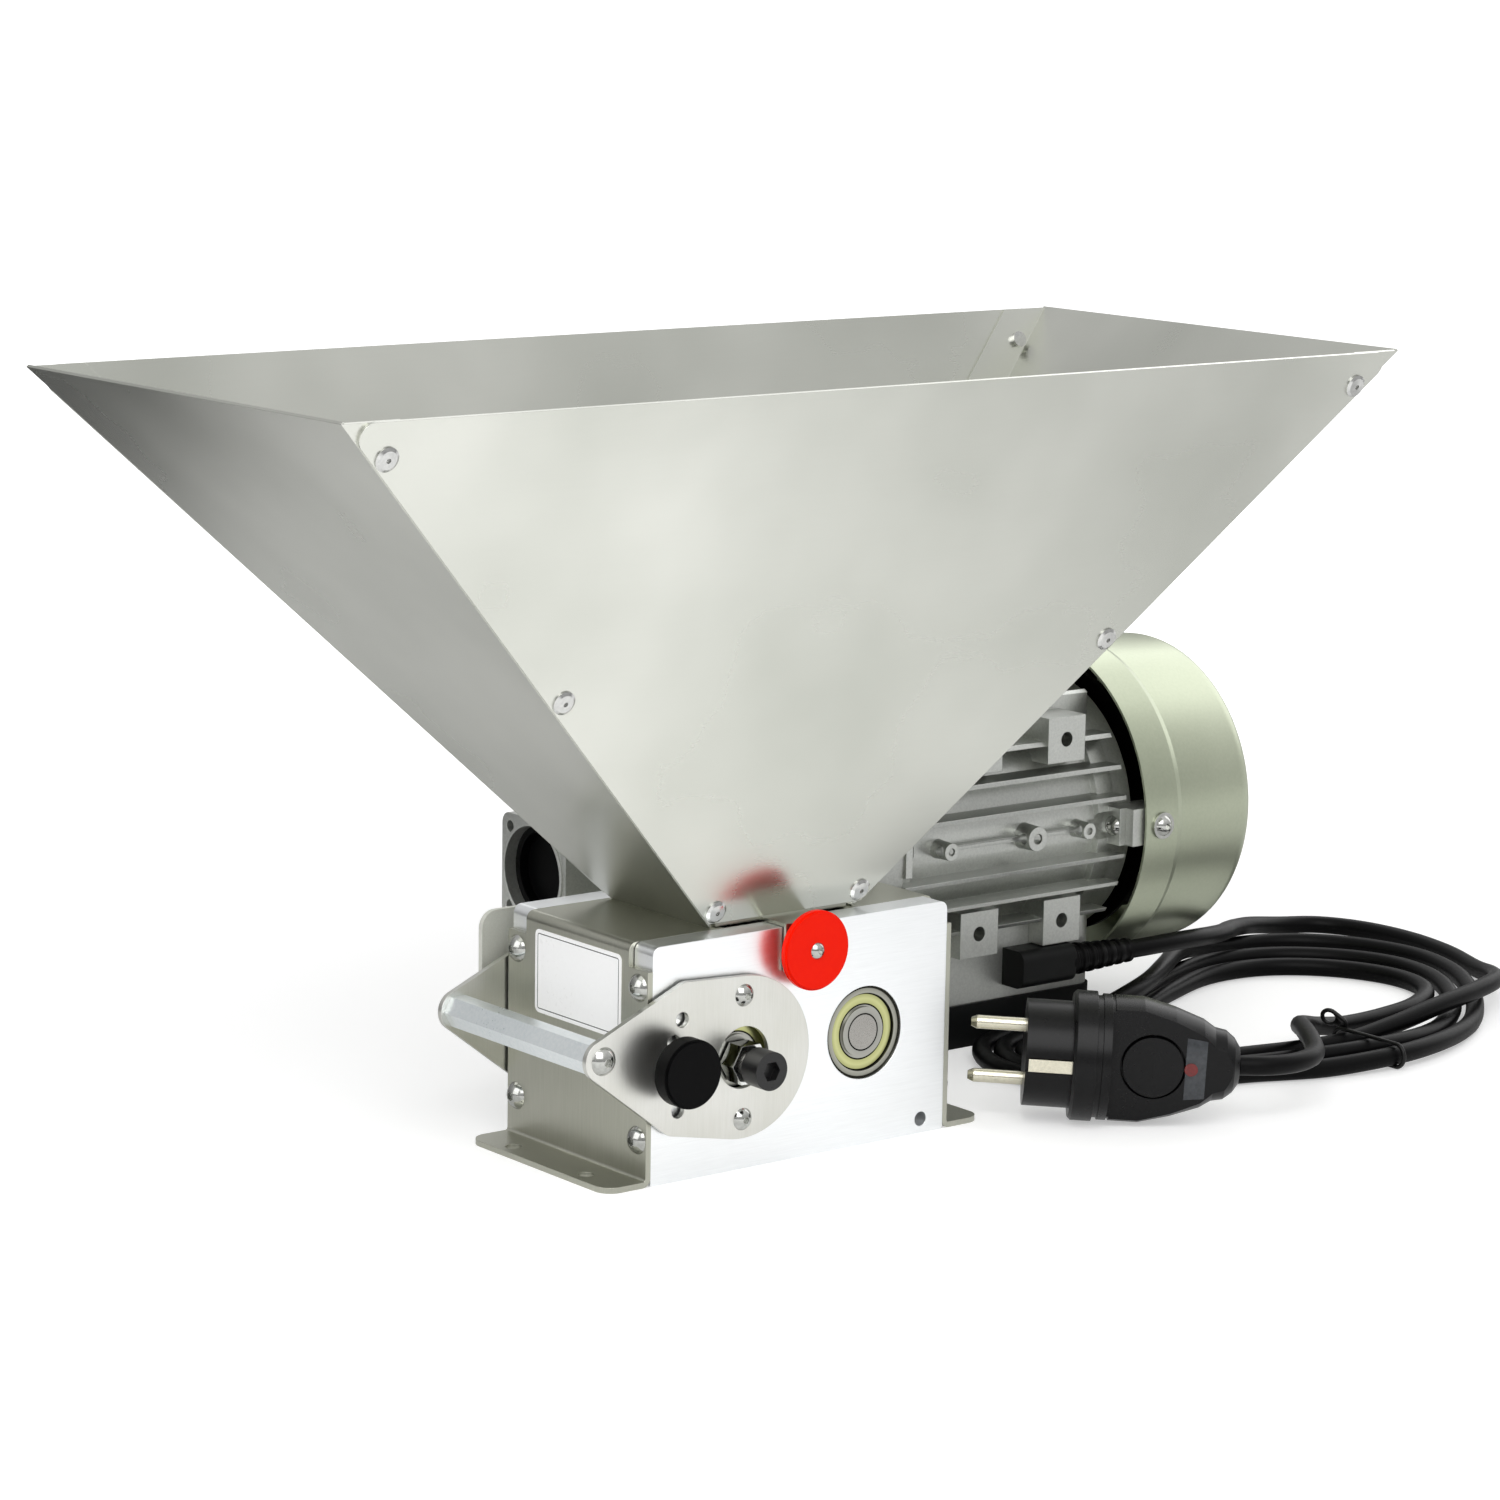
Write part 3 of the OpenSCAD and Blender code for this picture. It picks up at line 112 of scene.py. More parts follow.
def add(tree, kind, props=None, **sockets):
    """Adds a shader node. A socket is named, or is _0, _1 by place; an output is linked."""
    made = tree.nodes.new("ShaderNode" + kind)
    for name, value in (props or {}).items():
        setattr(made, name, value)
    for name, value in sockets.items():
        by_place = name[0] == "_"
        socket = made.inputs[int(name[1:])] if by_place else made.inputs[name.replace("_", " ")]
        if isinstance(value, bpy.types.NodeSocket):
            tree.links.new(value, socket)
        else:
            socket.default_value = value
    return made


def new_material(name):
    """A material with its output and Principled shader, and the object coordinates."""
    made = bpy.data.materials.new(name)
    made.use_nodes = True
    tree = made.node_tree
    tree.nodes.clear()
    shader = add(tree, "BsdfPrincipled")
    add(tree, "OutputMaterial", Surface=shader.outputs[0])
    return made, tree, shader, add(tree, "TexCoord").outputs["Object"]


NOISE_RANGE = (0.3, 0.7)  # nearly all of a noise's values lie between these


def grained(name, colours, roughness, grain, bump, metallic=0.0, stretch=(1, 1, 1), edge=0.0,
            specular=0.5, cloud=55, share=0.45):
    """A surface with fine grain, stretched where it is brushed, and slow changes of tone.

    grain, bump, edge and cloud (the size of the slow changes) are in millimetres; colours and
    roughness are each a low and a high; share is how far the slow changes outweigh the grain.
    Where grain is over 0.5 mm it is drawn coarser than the real one, so that it shows."""
    made, tree, shader, place = new_material(name)
    shader.inputs["Metallic"].default_value = metallic
    shader.inputs["Specular IOR Level"].default_value = specular
    # A slight turn keeps the noise from lining up with flat faces.
    spread = add(tree, "Mapping", Vector=place, Scale=[1 / s for s in stretch],
                 Rotation=(0.4, 0.7, 0.3))
    fine = add(tree, "TexNoise", Vector=spread.outputs[0], Scale=1 / (grain * MM), Detail=4.0,
               Roughness=0.6)
    slow = add(tree, "TexNoise", Vector=place, Scale=1 / (cloud * MM), Detail=3.0)
    mixed = add(tree, "Mix", {"data_type": "FLOAT"}, _0=share, _2=fine.outputs[0],
                _3=slow.outputs[0])
    tone = add(tree, "ValToRGB", Fac=mixed.outputs[0])
    for stop, position, colour in zip(tone.color_ramp.elements, NOISE_RANGE, colours):
        stop.position = position
        stop.color = linear(colour)
    tree.links.new(tone.outputs[0], shader.inputs["Base Color"])
    gloss = add(tree, "MapRange", Value=mixed.outputs[0], From_Min=NOISE_RANGE[0],
                From_Max=NOISE_RANGE[1], To_Min=roughness[0], To_Max=roughness[1])
    tree.links.new(gloss.outputs[0], shader.inputs["Roughness"])
    relief = add(tree, "Bump", Strength=0.6, Distance=bump * MM, Height=fine.outputs[0])
    if edge:
        rounded = add(tree, "Bevel", {"samples": 4}, Radius=edge * MM)
        tree.links.new(rounded.outputs[0], relief.inputs["Normal"])
    tree.links.new(relief.outputs[0], shader.inputs["Normal"])
    return made


# Black rubber straight from the mould: nearly black, matt, with a faint long sheen.
rubber = grained("moulded_black_rubber", ("#030303", "#080809"), (0.36, 0.48), 1.2, 0.02,
                 specular=0.1)

ends = [Vector(ROUTE[0]) * 2 - Vector(ROUTE[1]), Vector(ROUTE[-1]) * 2 - Vector(ROUTE[-2])]
knots = [ends[0]] + [Vector(p) for p in ROUTE] + [ends[1]]
line = []
for i in range(1, len(knots) - 2):
    a, b, c, d = knots[i - 1:i + 3]
    for k in range(CORD_STEPS):
        t = k / CORD_STEPS
        line.append(0.5 * (2 * b + (c - a) * t + (2 * a - 5 * b + 4 * c - d) * t * t
                           + (3 * b - a - 3 * c + d) * t ** 3))
line.append(Vector(TAIL_END))
for point in line:
    point.z = max(point.z, CORD_LOW)

curve = bpy.data.curves.new("mains_cord", "CURVE")
curve.dimensions = "3D"
curve.bevel_depth = CORD_D / 2 * MM
curve.bevel_resolution = 5
curve.use_fill_caps = True
spline = curve.splines.new("POLY")
spline.points.add(len(line) - 1)
for point, place in zip(spline.points, line):
    point.co = (*(place * MM), 1)
spline.use_smooth = True
cord = bpy.data.objects.new("mains_cord", curve)
bpy.context.scene.collection.objects.link(cord)
curve.materials.append(rubber)
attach(cord, "mill_frame")
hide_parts("power_cord")

# ---- Cord tie ----
# A steel wire in a black plastic coat ties three turns of the cord together. It is laid
# round them as a long loop, twisted shut on top, and its end stands up as a small loop.

TIE_X = 250
TIE_Y = -58.6
TIE_R = 5.1            # half the loop's height
TIE_GAP = 0.1          # between the loop and the table
TIE_REACH = 13.5       # how far each half of the loop is drawn out from its middle
TIE_MIDDLE = 0.1       # what lies nearer the middle than this stays where it is
WIRE_R = 0.8
END_LOOP = (TIE_X, -38.5, 12.6)
END_LOOP_R = 2.9
END_LOOP_TURN = (0, 70, 25)
STUB_FROM = 2.2        # what lies further than this from the end loop's middle is the stub
STUB_REACH = (0, -4.5, -1.6)


def pick(mode, test):
    """Selects the active mesh's vertices or faces for which test(place) is true, in edit mode."""
    bpy.ops.mesh.select_mode(type=mode)
    bpy.ops.mesh.select_all(action="DESELECT")
    bpy.ops.object.mode_set(mode="OBJECT")
    mesh = bpy.context.object.data
    for part in (mesh.vertices if mode == "VERT" else mesh.polygons):
        part.select = test(part.co if mode == "VERT" else part.center)
    bpy.ops.object.mode_set(mode="EDIT")


def place_piece(name, material, matrix=None, smooth=30):
    """Ends edit mode and gives the active new mesh its name, place, material and body."""
    bpy.ops.object.mode_set(mode="OBJECT")
    piece = bpy.context.object
    piece.name = name
    piece.data.transform(piece.matrix_world)
    piece.matrix_world = Matrix.Identity(4)
    if matrix:
        piece.data.transform(matrix)
    bpy.ops.object.shade_smooth_by_angle(angle=math.radians(smooth))
    piece.data.materials.clear()
    piece.data.materials.append(material)
    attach(piece, "mill_frame")
    return piece


def start_wire_ring(middle, turn, radius, segments):
    """Adds a ring of the tie's wire and opens it in edit mode; lengths in mm, turn in degrees."""
    bpy.ops.object.select_all(action="DESELECT")
    bpy.ops.mesh.primitive_torus_add(
        location=Vector(middle) * MM, rotation=[math.radians(t) for t in turn],
        major_radius=radius * MM, minor_radius=WIRE_R * MM, major_segments=segments,
        minor_segments=10)
    bpy.ops.object.mode_set(mode="EDIT")


# Smooth PVC over wire: black with a thin highlight along it.
tie_wire = grained("black_plastic_coated_wire", ("#060606", "#101010"), (0.35, 0.5), 0.8, 0.01,
                   specular=0.3)

start_wire_ring((TIE_X, TIE_Y, TIE_R + TIE_GAP), (0, 90, 0), TIE_R - WIRE_R, 32)
for side in (1, -1):
    pick("VERT", lambda co: co.y * side > TIE_MIDDLE * MM)
    bpy.ops.transform.translate(value=(0, side * TIE_REACH * MM, 0))
tie_loop = place_piece("tie_loop", tie_wire, smooth=60)
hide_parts("cord_tie")

start_wire_ring(END_LOOP, END_LOOP_TURN, END_LOOP_R, 24)
pick("VERT", lambda co: co.y < -STUB_FROM * MM)
bpy.ops.transform.translate(value=Vector(STUB_REACH) * MM)
tie_twist = place_piece("tie_twist", tie_wire, smooth=60)

# ---- Gland sleeve ----
# The sleeve that keeps the cord from kinking where it leaves the gland: a ribbed cone,
# moulded in the same black rubber as the cord.

SLEEVE_R = 6.2
SLEEVE_BASE = 2
SLEEVE_RIBS = 6
SLEEVE_STEPS = [(0.8, 0.86), (1.6, 1.0), (0.6, 1.12), (1.6, 0.985)]  # length, change of radius

bpy.ops.object.select_all(action="DESELECT")
bpy.ops.mesh.primitive_cylinder_add(vertices=32, radius=SLEEVE_R * MM, depth=SLEEVE_BASE * MM,
                                    location=(0, 0, SLEEVE_BASE / 2 * MM))
bpy.ops.object.mode_set(mode="EDIT")
# The base's upper face, half its height above its middle.
pick("FACE", lambda co: co.z > SLEEVE_BASE * 0.45 * MM)
for step, size in SLEEVE_STEPS * SLEEVE_RIBS:
    bpy.ops.mesh.extrude_region_move(TRANSFORM_OT_translate={"value": (0, 0, step * MM)})
    bpy.ops.transform.resize(value=(size, size, 1))
sleeve_way = (Vector(ROUTE[1]) - Vector(ROUTE[0])).to_track_quat("Z", "Y").to_matrix().to_4x4()
sleeve_frame = Matrix.Translation(Vector(ROUTE[0]) * MM) @ sleeve_way
place_piece("gland_sleeve", rubber, sleeve_frame, smooth=40)

# ---- Plug ----
# A plug moulded in black thermoplastic, with a built-in rocker switch. Its two pins and
# its earth strips are plated brass. A smoked strip is glued over the lamp beside the switch.

PLUG_PLACE = (113, -59.7, 22.579)
PLUG_TURN = -40
PLUG_PITCH = 2.5
PLUG_FLAT = 10         # flat side with the switch, from the plug's axis
STRIP_X = (31, 38.2)   # along the plug, from the switch's rim towards the tail
STRIP_H = 22
STRIP_T = 0.5
STRIP_OUT = 0.4        # how far it stands out of the flat side
STRIP_TAPER = 0.92     # height of its end at the tail, as a share of the other
STRIP_EDGE = 0.2


def dress(material, *names):
    """Gives CAD nodes this material."""
    for name in names:
        cad[name].data.materials.clear()
        cad[name].data.materials.append(material)


def start_box(middle, size):
    """Adds a box and opens it in edit mode; lengths in mm."""
    bpy.ops.object.select_all(action="DESELECT")
    bpy.ops.mesh.primitive_cube_add(size=MM, location=Vector(middle) * MM)
    bpy.context.object.scale = size
    bpy.ops.object.transform_apply(location=False)
    bpy.ops.object.mode_set(mode="EDIT")


# Moulded thermoplastic: black with a low, smooth sheen and soft edges.
plug_plastic = grained("moulded_black_thermoplastic", ("#040405", "#0a0a0b"), (0.24, 0.34), 1.5,
                       0.01, edge=0.3, specular=0.2)
dress(plug_plastic, "plug_body", "plug_switch")
# Nickel plating on turned brass: a bright, slightly yellow metal.
nickel = grained("nickel_plated_brass", ("#b5b19f", "#d8d4c2"), (0.18, 0.28), 1.0, 0.004,
                 metallic=1.0, edge=0.15)
dress(nickel, "plug_contacts")
# A glossy moulded lens, dark red while the lamp is off.
lamp_red = grained("dark_red_lens", ("#4a0806", "#7a120e"), (0.12, 0.2), 1.0, 0.01)
dress(lamp_red, "plug_lamp")
# Polycarbonate film: clouded dark grey, glossier than the plug.
smoked_strip = grained("smoked_grey_polycarbonate", ("#2a2c2f", "#45484c"), (0.16, 0.24), 2.0,
                       0.003, edge=0.2, specular=0.4)

plug_frame = (Matrix.Translation(Vector(PLUG_PLACE) * MM)
              @ Matrix.Rotation(math.radians(PLUG_TURN), 4, "Z")
              @ Matrix.Rotation(math.radians(PLUG_PITCH), 4, "Y"))
start_box((sum(STRIP_X) / 2, STRIP_T / 2 - PLUG_FLAT - STRIP_OUT, 0),
          (STRIP_X[1] - STRIP_X[0], STRIP_T, STRIP_H))
pick("VERT", lambda co: co.x > 0)
bpy.ops.transform.resize(value=(1, 1, STRIP_TAPER), center_override=(0, 0, 0))
bpy.ops.mesh.select_all(action="SELECT")
bpy.ops.mesh.bevel(offset=STRIP_EDGE * MM, segments=2, affect="EDGES")
lamp_strip = place_piece("plug_lamp_strip", smoked_strip, plug_frame)

# ---- Floor and light ----
# A plain white paper sweep in a pale room, under large soft lamps. The floor and the room
# are white to the eye, the floor keeps shadows, and metal shows a room with darker walls.

LAMP_TARGET = (60, 0, 110)
LAMPS = [("key_lamp", (-700, -1200, 1400), 1500, 20),   # name, place, size, watts
         ("side_lamp", (-1500, 100, 800), 1200, 7),
         ("fill_lamp", (1700, 300, 900), 1400, 8),
         ("back_lamp", (1200, 1300, 1500), 1400, 5)]
ROOM_LIGHT = 0.5       # what the room gives to matt surfaces
WALL_LIGHT = 0.42      # the walls at floor height, in reflections
CEILING_LIGHT = 1.0
CEILING_FROM = 0.7     # upward share of a direction from which it is all ceiling
BACK_SHARE = 0.6       # how much of that the wall behind the mill keeps
BACK_FROM = (0.1, 0.8)   # backward share of a direction over which it falls to that
FLOOR_SIZE = 60000

for name, spot, size, power in LAMPS:
    lamp = bpy.data.lights.new(name, "AREA")
    lamp.size = size * MM
    lamp.energy = power
    stand = bpy.data.objects.new(name, lamp)
    stand.location = Vector(spot) * MM
    stand.rotation_euler = (Vector(LAMP_TARGET) - Vector(spot)).to_track_quat("-Z", "Y").to_euler()
    bpy.context.scene.collection.objects.link(stand)

world = bpy.data.worlds.new("white_room")
bpy.context.scene.world = world
world.use_nodes = True
room = world.node_tree
room.nodes.clear()
ray = add(room, "LightPath").outputs
way = add(room, "SeparateXYZ", _0=add(room, "TexCoord").outputs["Generated"])
eye = add(room, "Math", {"operation": "MAXIMUM"}, _0=ray["Is Camera Ray"],
          _1=ray["Is Transmission Ray"])
upward = add(room, "MapRange", Value=way.outputs[2], From_Min=0.0, From_Max=CEILING_FROM,
             To_Min=WALL_LIGHT, To_Max=CEILING_LIGHT)
backward = add(room, "MapRange", Value=way.outputs[1], From_Min=BACK_FROM[0],
               From_Max=BACK_FROM[1], To_Min=1.0, To_Max=BACK_SHARE)
walls = add(room, "Math", {"operation": "MULTIPLY"}, _0=upward.outputs[0], _1=backward.outputs[0])
shine = add(room, "Math", {"operation": "MULTIPLY"}, _0=walls.outputs[0], _1=ray["Is Glossy Ray"])
shown = add(room, "Math", {"operation": "MAXIMUM"}, _0=eye.outputs[0], _1=shine.outputs[0])
matt = add(room, "Math", {"operation": "MULTIPLY_ADD"}, _0=ray["Is Glossy Ray"], _1=-ROOM_LIGHT,
           _2=ROOM_LIGHT)
level = add(room, "Math", {"operation": "MAXIMUM"}, _0=shown.outputs[0], _1=matt.outputs[0])
background = add(room, "Background", Color=(1, 1, 1, 1), Strength=level.outputs[0])
add(room, "OutputWorld", Surface=background.outputs[0])

# White paper: matt. It fades to pure white away from the mill. In reflections it shows painted
# light, a glow in front of the mill where the lamps shine on it, with painted shade under the
# motor; behind the mill's left side it is painted dark.
PAPER_LIGHT = "#dcdcdc"
PAINTED_DARK_REFLECTION = "#0c0e0c"     # painted dark reflection: the paper's colour in reflections, behind the mill's left side
DARK_REFLECTION_Y = (330, 400)     # y over which that sets in, behind the mill
DARK_REFLECTION_X = (-140, -80)   # x over which it stops again
FADE = (450, 1100)         # distances over which the paper fades to white
FADE_LOW = 0.42            # how much it glows to the eye within them
FRONT_GLOW = 0.58          # painted light: how much it glows in reflections, in front of the mill
FRONT = (-150, 100)        # y over which that glow ends
LEFT = (100, 500)          # x over which it ends to the right, leaving painted shade in reflections under the motor
RIGHT = (520, 700)         # x over which it starts again
RIGHT_SHARE = 0.9

sweep = bpy.data.materials.new("white_paper")
sweep.use_nodes = True
tree = sweep.node_tree
tree.nodes.clear()
ray = add(tree, "LightPath").outputs
place = add(tree, "TexCoord").outputs["Object"]
spot = add(tree, "SeparateXYZ", _0=place)
# A painted dark reflection: behind the mill's left side the paper is near black to glossy rays
# only.
beyond = add(tree, "MapRange", Value=spot.outputs[1], From_Min=DARK_REFLECTION_Y[0] * MM,
             From_Max=DARK_REFLECTION_Y[1] * MM, To_Min=0.0, To_Max=1.0)
beside = add(tree, "MapRange", Value=spot.outputs[0], From_Min=DARK_REFLECTION_X[0] * MM,
             From_Max=DARK_REFLECTION_X[1] * MM, To_Min=1.0, To_Max=0.0)
dark_reflection_area = add(tree, "Math", {"operation": "MULTIPLY"}, _0=beyond.outputs[0],
                _1=beside.outputs[0])
dark = add(tree, "Math", {"operation": "MULTIPLY"}, _0=dark_reflection_area.outputs[0],
           _1=ray["Is Glossy Ray"])
tint = add(tree, "Mix", {"data_type": "RGBA"}, _0=dark.outputs[0], _6=linear(PAPER_LIGHT),
           _7=linear(PAINTED_DARK_REFLECTION))
paper = add(tree, "BsdfDiffuse", Color=tint.outputs[2])
away = add(tree, "VectorMath", {"operation": "LENGTH"}, _0=place)
fade = add(tree, "MapRange", Value=away.outputs["Value"], From_Min=FADE[0] * MM,
           From_Max=FADE[1] * MM, To_Min=FADE_LOW, To_Max=1.0)
# Painted light in reflections: a glow in front of the mill, with a gap of painted shade under the
# motor.
in_front = add(tree, "MapRange", Value=spot.outputs[1], From_Min=FRONT[0] * MM,
               From_Max=FRONT[1] * MM, To_Min=FRONT_GLOW, To_Max=0.0)
at_left = add(tree, "MapRange", Value=spot.outputs[0], From_Min=LEFT[0] * MM,
              From_Max=LEFT[1] * MM, To_Min=1.0, To_Max=0.0)
at_right = add(tree, "MapRange", Value=spot.outputs[0], From_Min=RIGHT[0] * MM,
               From_Max=RIGHT[1] * MM, To_Min=0.0, To_Max=RIGHT_SHARE)
sides = add(tree, "Math", {"operation": "MAXIMUM"}, _0=at_left.outputs[0], _1=at_right.outputs[0])
painted_glow = add(tree, "Math", {"operation": "MULTIPLY"}, _0=in_front.outputs[0], _1=sides.outputs[0])
eye = add(tree, "Math", {"operation": "MULTIPLY"}, _0=fade.outputs[0], _1=ray["Is Camera Ray"])
shine = add(tree, "Math", {"operation": "MULTIPLY"}, _0=painted_glow.outputs[0], _1=ray["Is Glossy Ray"])
glow = add(tree, "Math", {"operation": "ADD"}, _0=eye.outputs[0], _1=shine.outputs[0])
light = add(tree, "Emission", Color=(1, 1, 1, 1), Strength=glow.outputs[0])
surface = add(tree, "AddShader", _0=paper.outputs[0], _1=light.outputs[0])
add(tree, "OutputMaterial", Surface=surface.outputs[0])

bpy.ops.object.select_all(action="DESELECT")
bpy.ops.mesh.primitive_grid_add(x_subdivisions=8, y_subdivisions=8, size=FLOOR_SIZE * MM)
floor = bpy.context.object
floor.name = "studio_floor"
floor.data.materials.append(sweep)

# ---- Plates and side panels ----
# Two 10 mm plates of natural aluminium carry the bearings. Two panels of 2 mm stainless
# sheet, folded to a foot at the bottom and a lip at the top, are screwed to their ends.

# Aluminium brushed along its length: nearly white, with fine level lines.
plate_aluminium = grained("brushed_natural_aluminium", ("#eff1f2", "#fafcfd"), (0.3, 0.4), 0.3,
                          0.006, metallic=1.0, stretch=(40, 1, 1), edge=0.35, share=0.3)
dress(plate_aluminium, "front_plate", "rear_plate")
# Stainless sheet with a satin ground face: warm grey, with faint upright lines.
satin_steel = grained("satin_stainless_sheet", ("#a9aa9d", "#bebeb3"), (0.3, 0.4), 0.5, 0.004,
                      metallic=1.0, stretch=(1, 1, 30), edge=0.25, share=0.6)
dress(satin_steel, "left_panel", "right_panel")

# ---- Side sticker ----
# A blank sticker of white vinyl film, cut with rounded corners, with a thin printed frame.
# It is stuck flat on the left panel.

STICKER_X = -64.5      # outer face of the left panel
STICKER_Y = (-24.8, 23.3)
STICKER_Z = (46.6, 75.1)
STICKER_T = 0.2
STICKER_CORNER = 2.2
FRAME_IN = 1.3         # from the sticker's edge to the printed frame
FRAME_W = 0.35
FRAME_BAND = (1.25, 1.72)  # the frame's faces have their middles this far from the edges

# Vinyl film: clean white with a slight gloss.
vinyl = grained("white_vinyl_film", ("#fafafa", "#fefefe"), (0.25, 0.35), 1.5, 0.004,
                specular=0.4)
# Screen-printed ink: dull dark grey.
ink = grained("dark_grey_ink", ("#3c3d3f", "#4a4b4d"), (0.3, 0.4), 1.5, 0.004)

sticker_w = STICKER_Y[1] - STICKER_Y[0]
sticker_h = STICKER_Z[1] - STICKER_Z[0]
start_box((STICKER_X - STICKER_T / 2, sum(STICKER_Y) / 2, sum(STICKER_Z) / 2),
          (STICKER_T, sticker_w, sticker_h))
bpy.ops.mesh.select_mode(type="EDGE")
bpy.ops.mesh.select_all(action="DESELECT")
bpy.ops.object.mode_set(mode="OBJECT")
sticker = bpy.context.object
for edge in sticker.data.edges:
    a, b = (sticker.data.vertices[v].co for v in edge.vertices)
    edge.select = abs(a.x - b.x) > STICKER_T * MM / 2
bpy.ops.object.mode_set(mode="EDIT")
bpy.ops.mesh.bevel(offset=STICKER_CORNER * MM, segments=6, affect="EDGES")
outside = -STICKER_T * 0.49 * MM  # faces further out than this are the printed side
pick("FACE", lambda co: co.x < outside)
bpy.ops.mesh.inset(thickness=FRAME_IN * MM, depth=0)
bpy.ops.mesh.inset(thickness=FRAME_W * MM, depth=0)
bpy.ops.object.mode_set(mode="OBJECT")
framed = set()
for face in sticker.data.polygons:
    inwards = min(sticker_w / 2 - abs(face.center.y) / MM, sticker_h / 2 - abs(face.center.z) / MM)
    if face.center.x < outside and FRAME_BAND[0] < inwards < FRAME_BAND[1]:
        framed.add(face.index)
place_piece("side_sticker", vinyl, smooth=20)
sticker.data.materials.append(ink)
for face in sticker.data.polygons:
    face.material_index = 1 if face.index in framed else 0

# ---- Hopper ----
# Four walls of 1 mm stainless sheet. The end walls are folded to flanges that lie inside
# the long walls, and blind rivets hold them there.

# Cold-rolled sheet: smooth, with soft broad reflections and slow changes of tone.
hopper_steel = grained("satin_stainless_hopper", ("#bbbdb5", "#d5d6cf"), (0.25, 0.33), 1.1, 0,
                       metallic=1.0, stretch=(20, 1, 1), edge=0.2, cloud=120, share=0.97)
dress(hopper_steel, "hopper_front_wall", "hopper_rear_wall", "hopper_left_wall",
      "hopper_right_wall")
# Rivet heads of plain aluminium: bright, with a dark hole where the nail broke off.
rivet_aluminium = grained("plain_aluminium_rivets", ("#b2b3b1", "#d2d2d0"), (0.14, 0.22), 1.0,
                          0.01, metallic=1.0)
dress(rivet_aluminium, "hopper_rivets")

# ---- Rollers and shafts ----
# Two rollers of case-hardened steel, with flutes milled along them, sit on ground shafts.
# The shafts are 12 mm thick and turn in ball bearings.

# Milled and hardened steel: dark grey, with fine marks along the roller.
roller_steel = grained("machined_roller_steel", ("#5d5e60", "#7b7c7e"), (0.25, 0.4), 0.5, 0.01,
                       metallic=1.0, stretch=(1, 30, 1), edge=0.1)
dress(roller_steel, "drive_roller", "idler_roller")
# Ground steel: smoother and lighter than the rollers.
shaft_steel = grained("ground_shaft_steel", ("#8b8985", "#a9a7a2"), (0.22, 0.34), 0.4, 0.005,
                      metallic=1.0)
dress(shaft_steel, "drive_shaft", "idler_shaft")

# ---- Ball bearings ----
# Shielded ball bearings, 32 mm across: two ground steel rings, and between them a pressed shield
# with a yellow-green passivated face. Painted shade darkens the grooves beside it, a ring round
# the bore and the outer rim.

BEARING_R = 16
# The dark stops are painted shade: round the bore, in the two grooves beside the shield and at the
# outer rim.
BEARING_RINGS_AND_SHADE = [(0, "#0d0d0b"), (6.42, "#0d0d0b"), (6.6, "#9c9c96"), (9.1, "#a6a69f"),
                 (9.25, "#11110d"), (9.65, "#11110d"), (9.8, "#b4b67e"), (11.4, "#c3c58f"),
                 (12.8, "#a9ab76"), (12.95, "#0b0b08"), (13.35, "#0b0b08"), (13.5, "#a3a39a"),
                 (15.0, "#8d8d84"), (15.2, "#171713"), (15.8, "#2a2a24")]
BEARING_MARKS = 1.1    # between turning marks, drawn coarser than real so that they show


def shielded(name, node):
    """Ground steel rings and shield, by their distance from this node's axis along Y."""
    made, tree, shader, place = new_material(name)
    shader.inputs["Metallic"].default_value = 1.0
    shader.inputs["Roughness"].default_value = 0.3
    low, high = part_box(node)
    middle = (low + high) / 2
    centred = add(tree, "Mapping", Vector=place, Location=(-middle.x, 0, -middle.z))
    flat = add(tree, "VectorMath", {"operation": "MULTIPLY"}, _0=centred.outputs[0],
               _1=(1, 0, 1))
    out = add(tree, "VectorMath", {"operation": "LENGTH"}, _0=flat.outputs[0])
    share = add(tree, "Math", {"operation": "DIVIDE"}, _0=out.outputs["Value"],
                _1=BEARING_R * MM)
    # The ramp paints the rings' colours and, with its dark stops, painted shade in the grooves and
    # at the rims.
    rings = add(tree, "ValToRGB", Fac=share.outputs[0])
    stops = rings.color_ramp.elements
    while len(stops) < len(BEARING_RINGS_AND_SHADE):
        stops.new(0.5)
    for stop, ring in zip(stops, BEARING_RINGS_AND_SHADE):
        stop.position = ring[0] / BEARING_R
    for stop, ring in zip(stops, BEARING_RINGS_AND_SHADE):
        stop.color = linear(ring[1])
    tree.links.new(rings.outputs[0], shader.inputs["Base Color"])
    turned = add(tree, "TexNoise", Vector=flat.outputs[0], Scale=1 / (BEARING_MARKS * MM),
                 Detail=2.0)
    relief = add(tree, "Bump", Strength=0.3, Distance=0.01 * MM, Height=turned.outputs[0])
    tree.links.new(relief.outputs[0], shader.inputs["Normal"])
    return made


dress(shielded("shielded_drive_bearing", "drive_bearings"), "drive_bearings")
dress(shielded("shielded_idler_bearing", "idler_bearings"), "idler_bearings")

# ---- Gap lever ----
# Two laser-cut lever plates are screwed to the eccentric bushes and joined by a hexagonal
# steel bar. A black moulded knob clamps the front plate, and a nut holds the idler shaft.

# Laser-cut stainless plate, satin ground: light grey with soft clouds.
lever_steel = grained("satin_stainless_lever", ("#c8c8c0", "#dededa"), (0.28, 0.38), 0.6, 0.002,
                      metallic=1.0, stretch=(1, 1, 20), edge=0.3, cloud=40, share=0.75)
dress(lever_steel, "front_lever", "rear_lever", "front_bush", "rear_bush")
# Bright zinc plating: pale and bluish.
zinc = grained("bright_zinc_plating", ("#dde5e8", "#f2f6f7"), (0.26, 0.34), 1.2, 0.002,
               metallic=0.8, edge=0.25)
dress(zinc, "handle_bar")
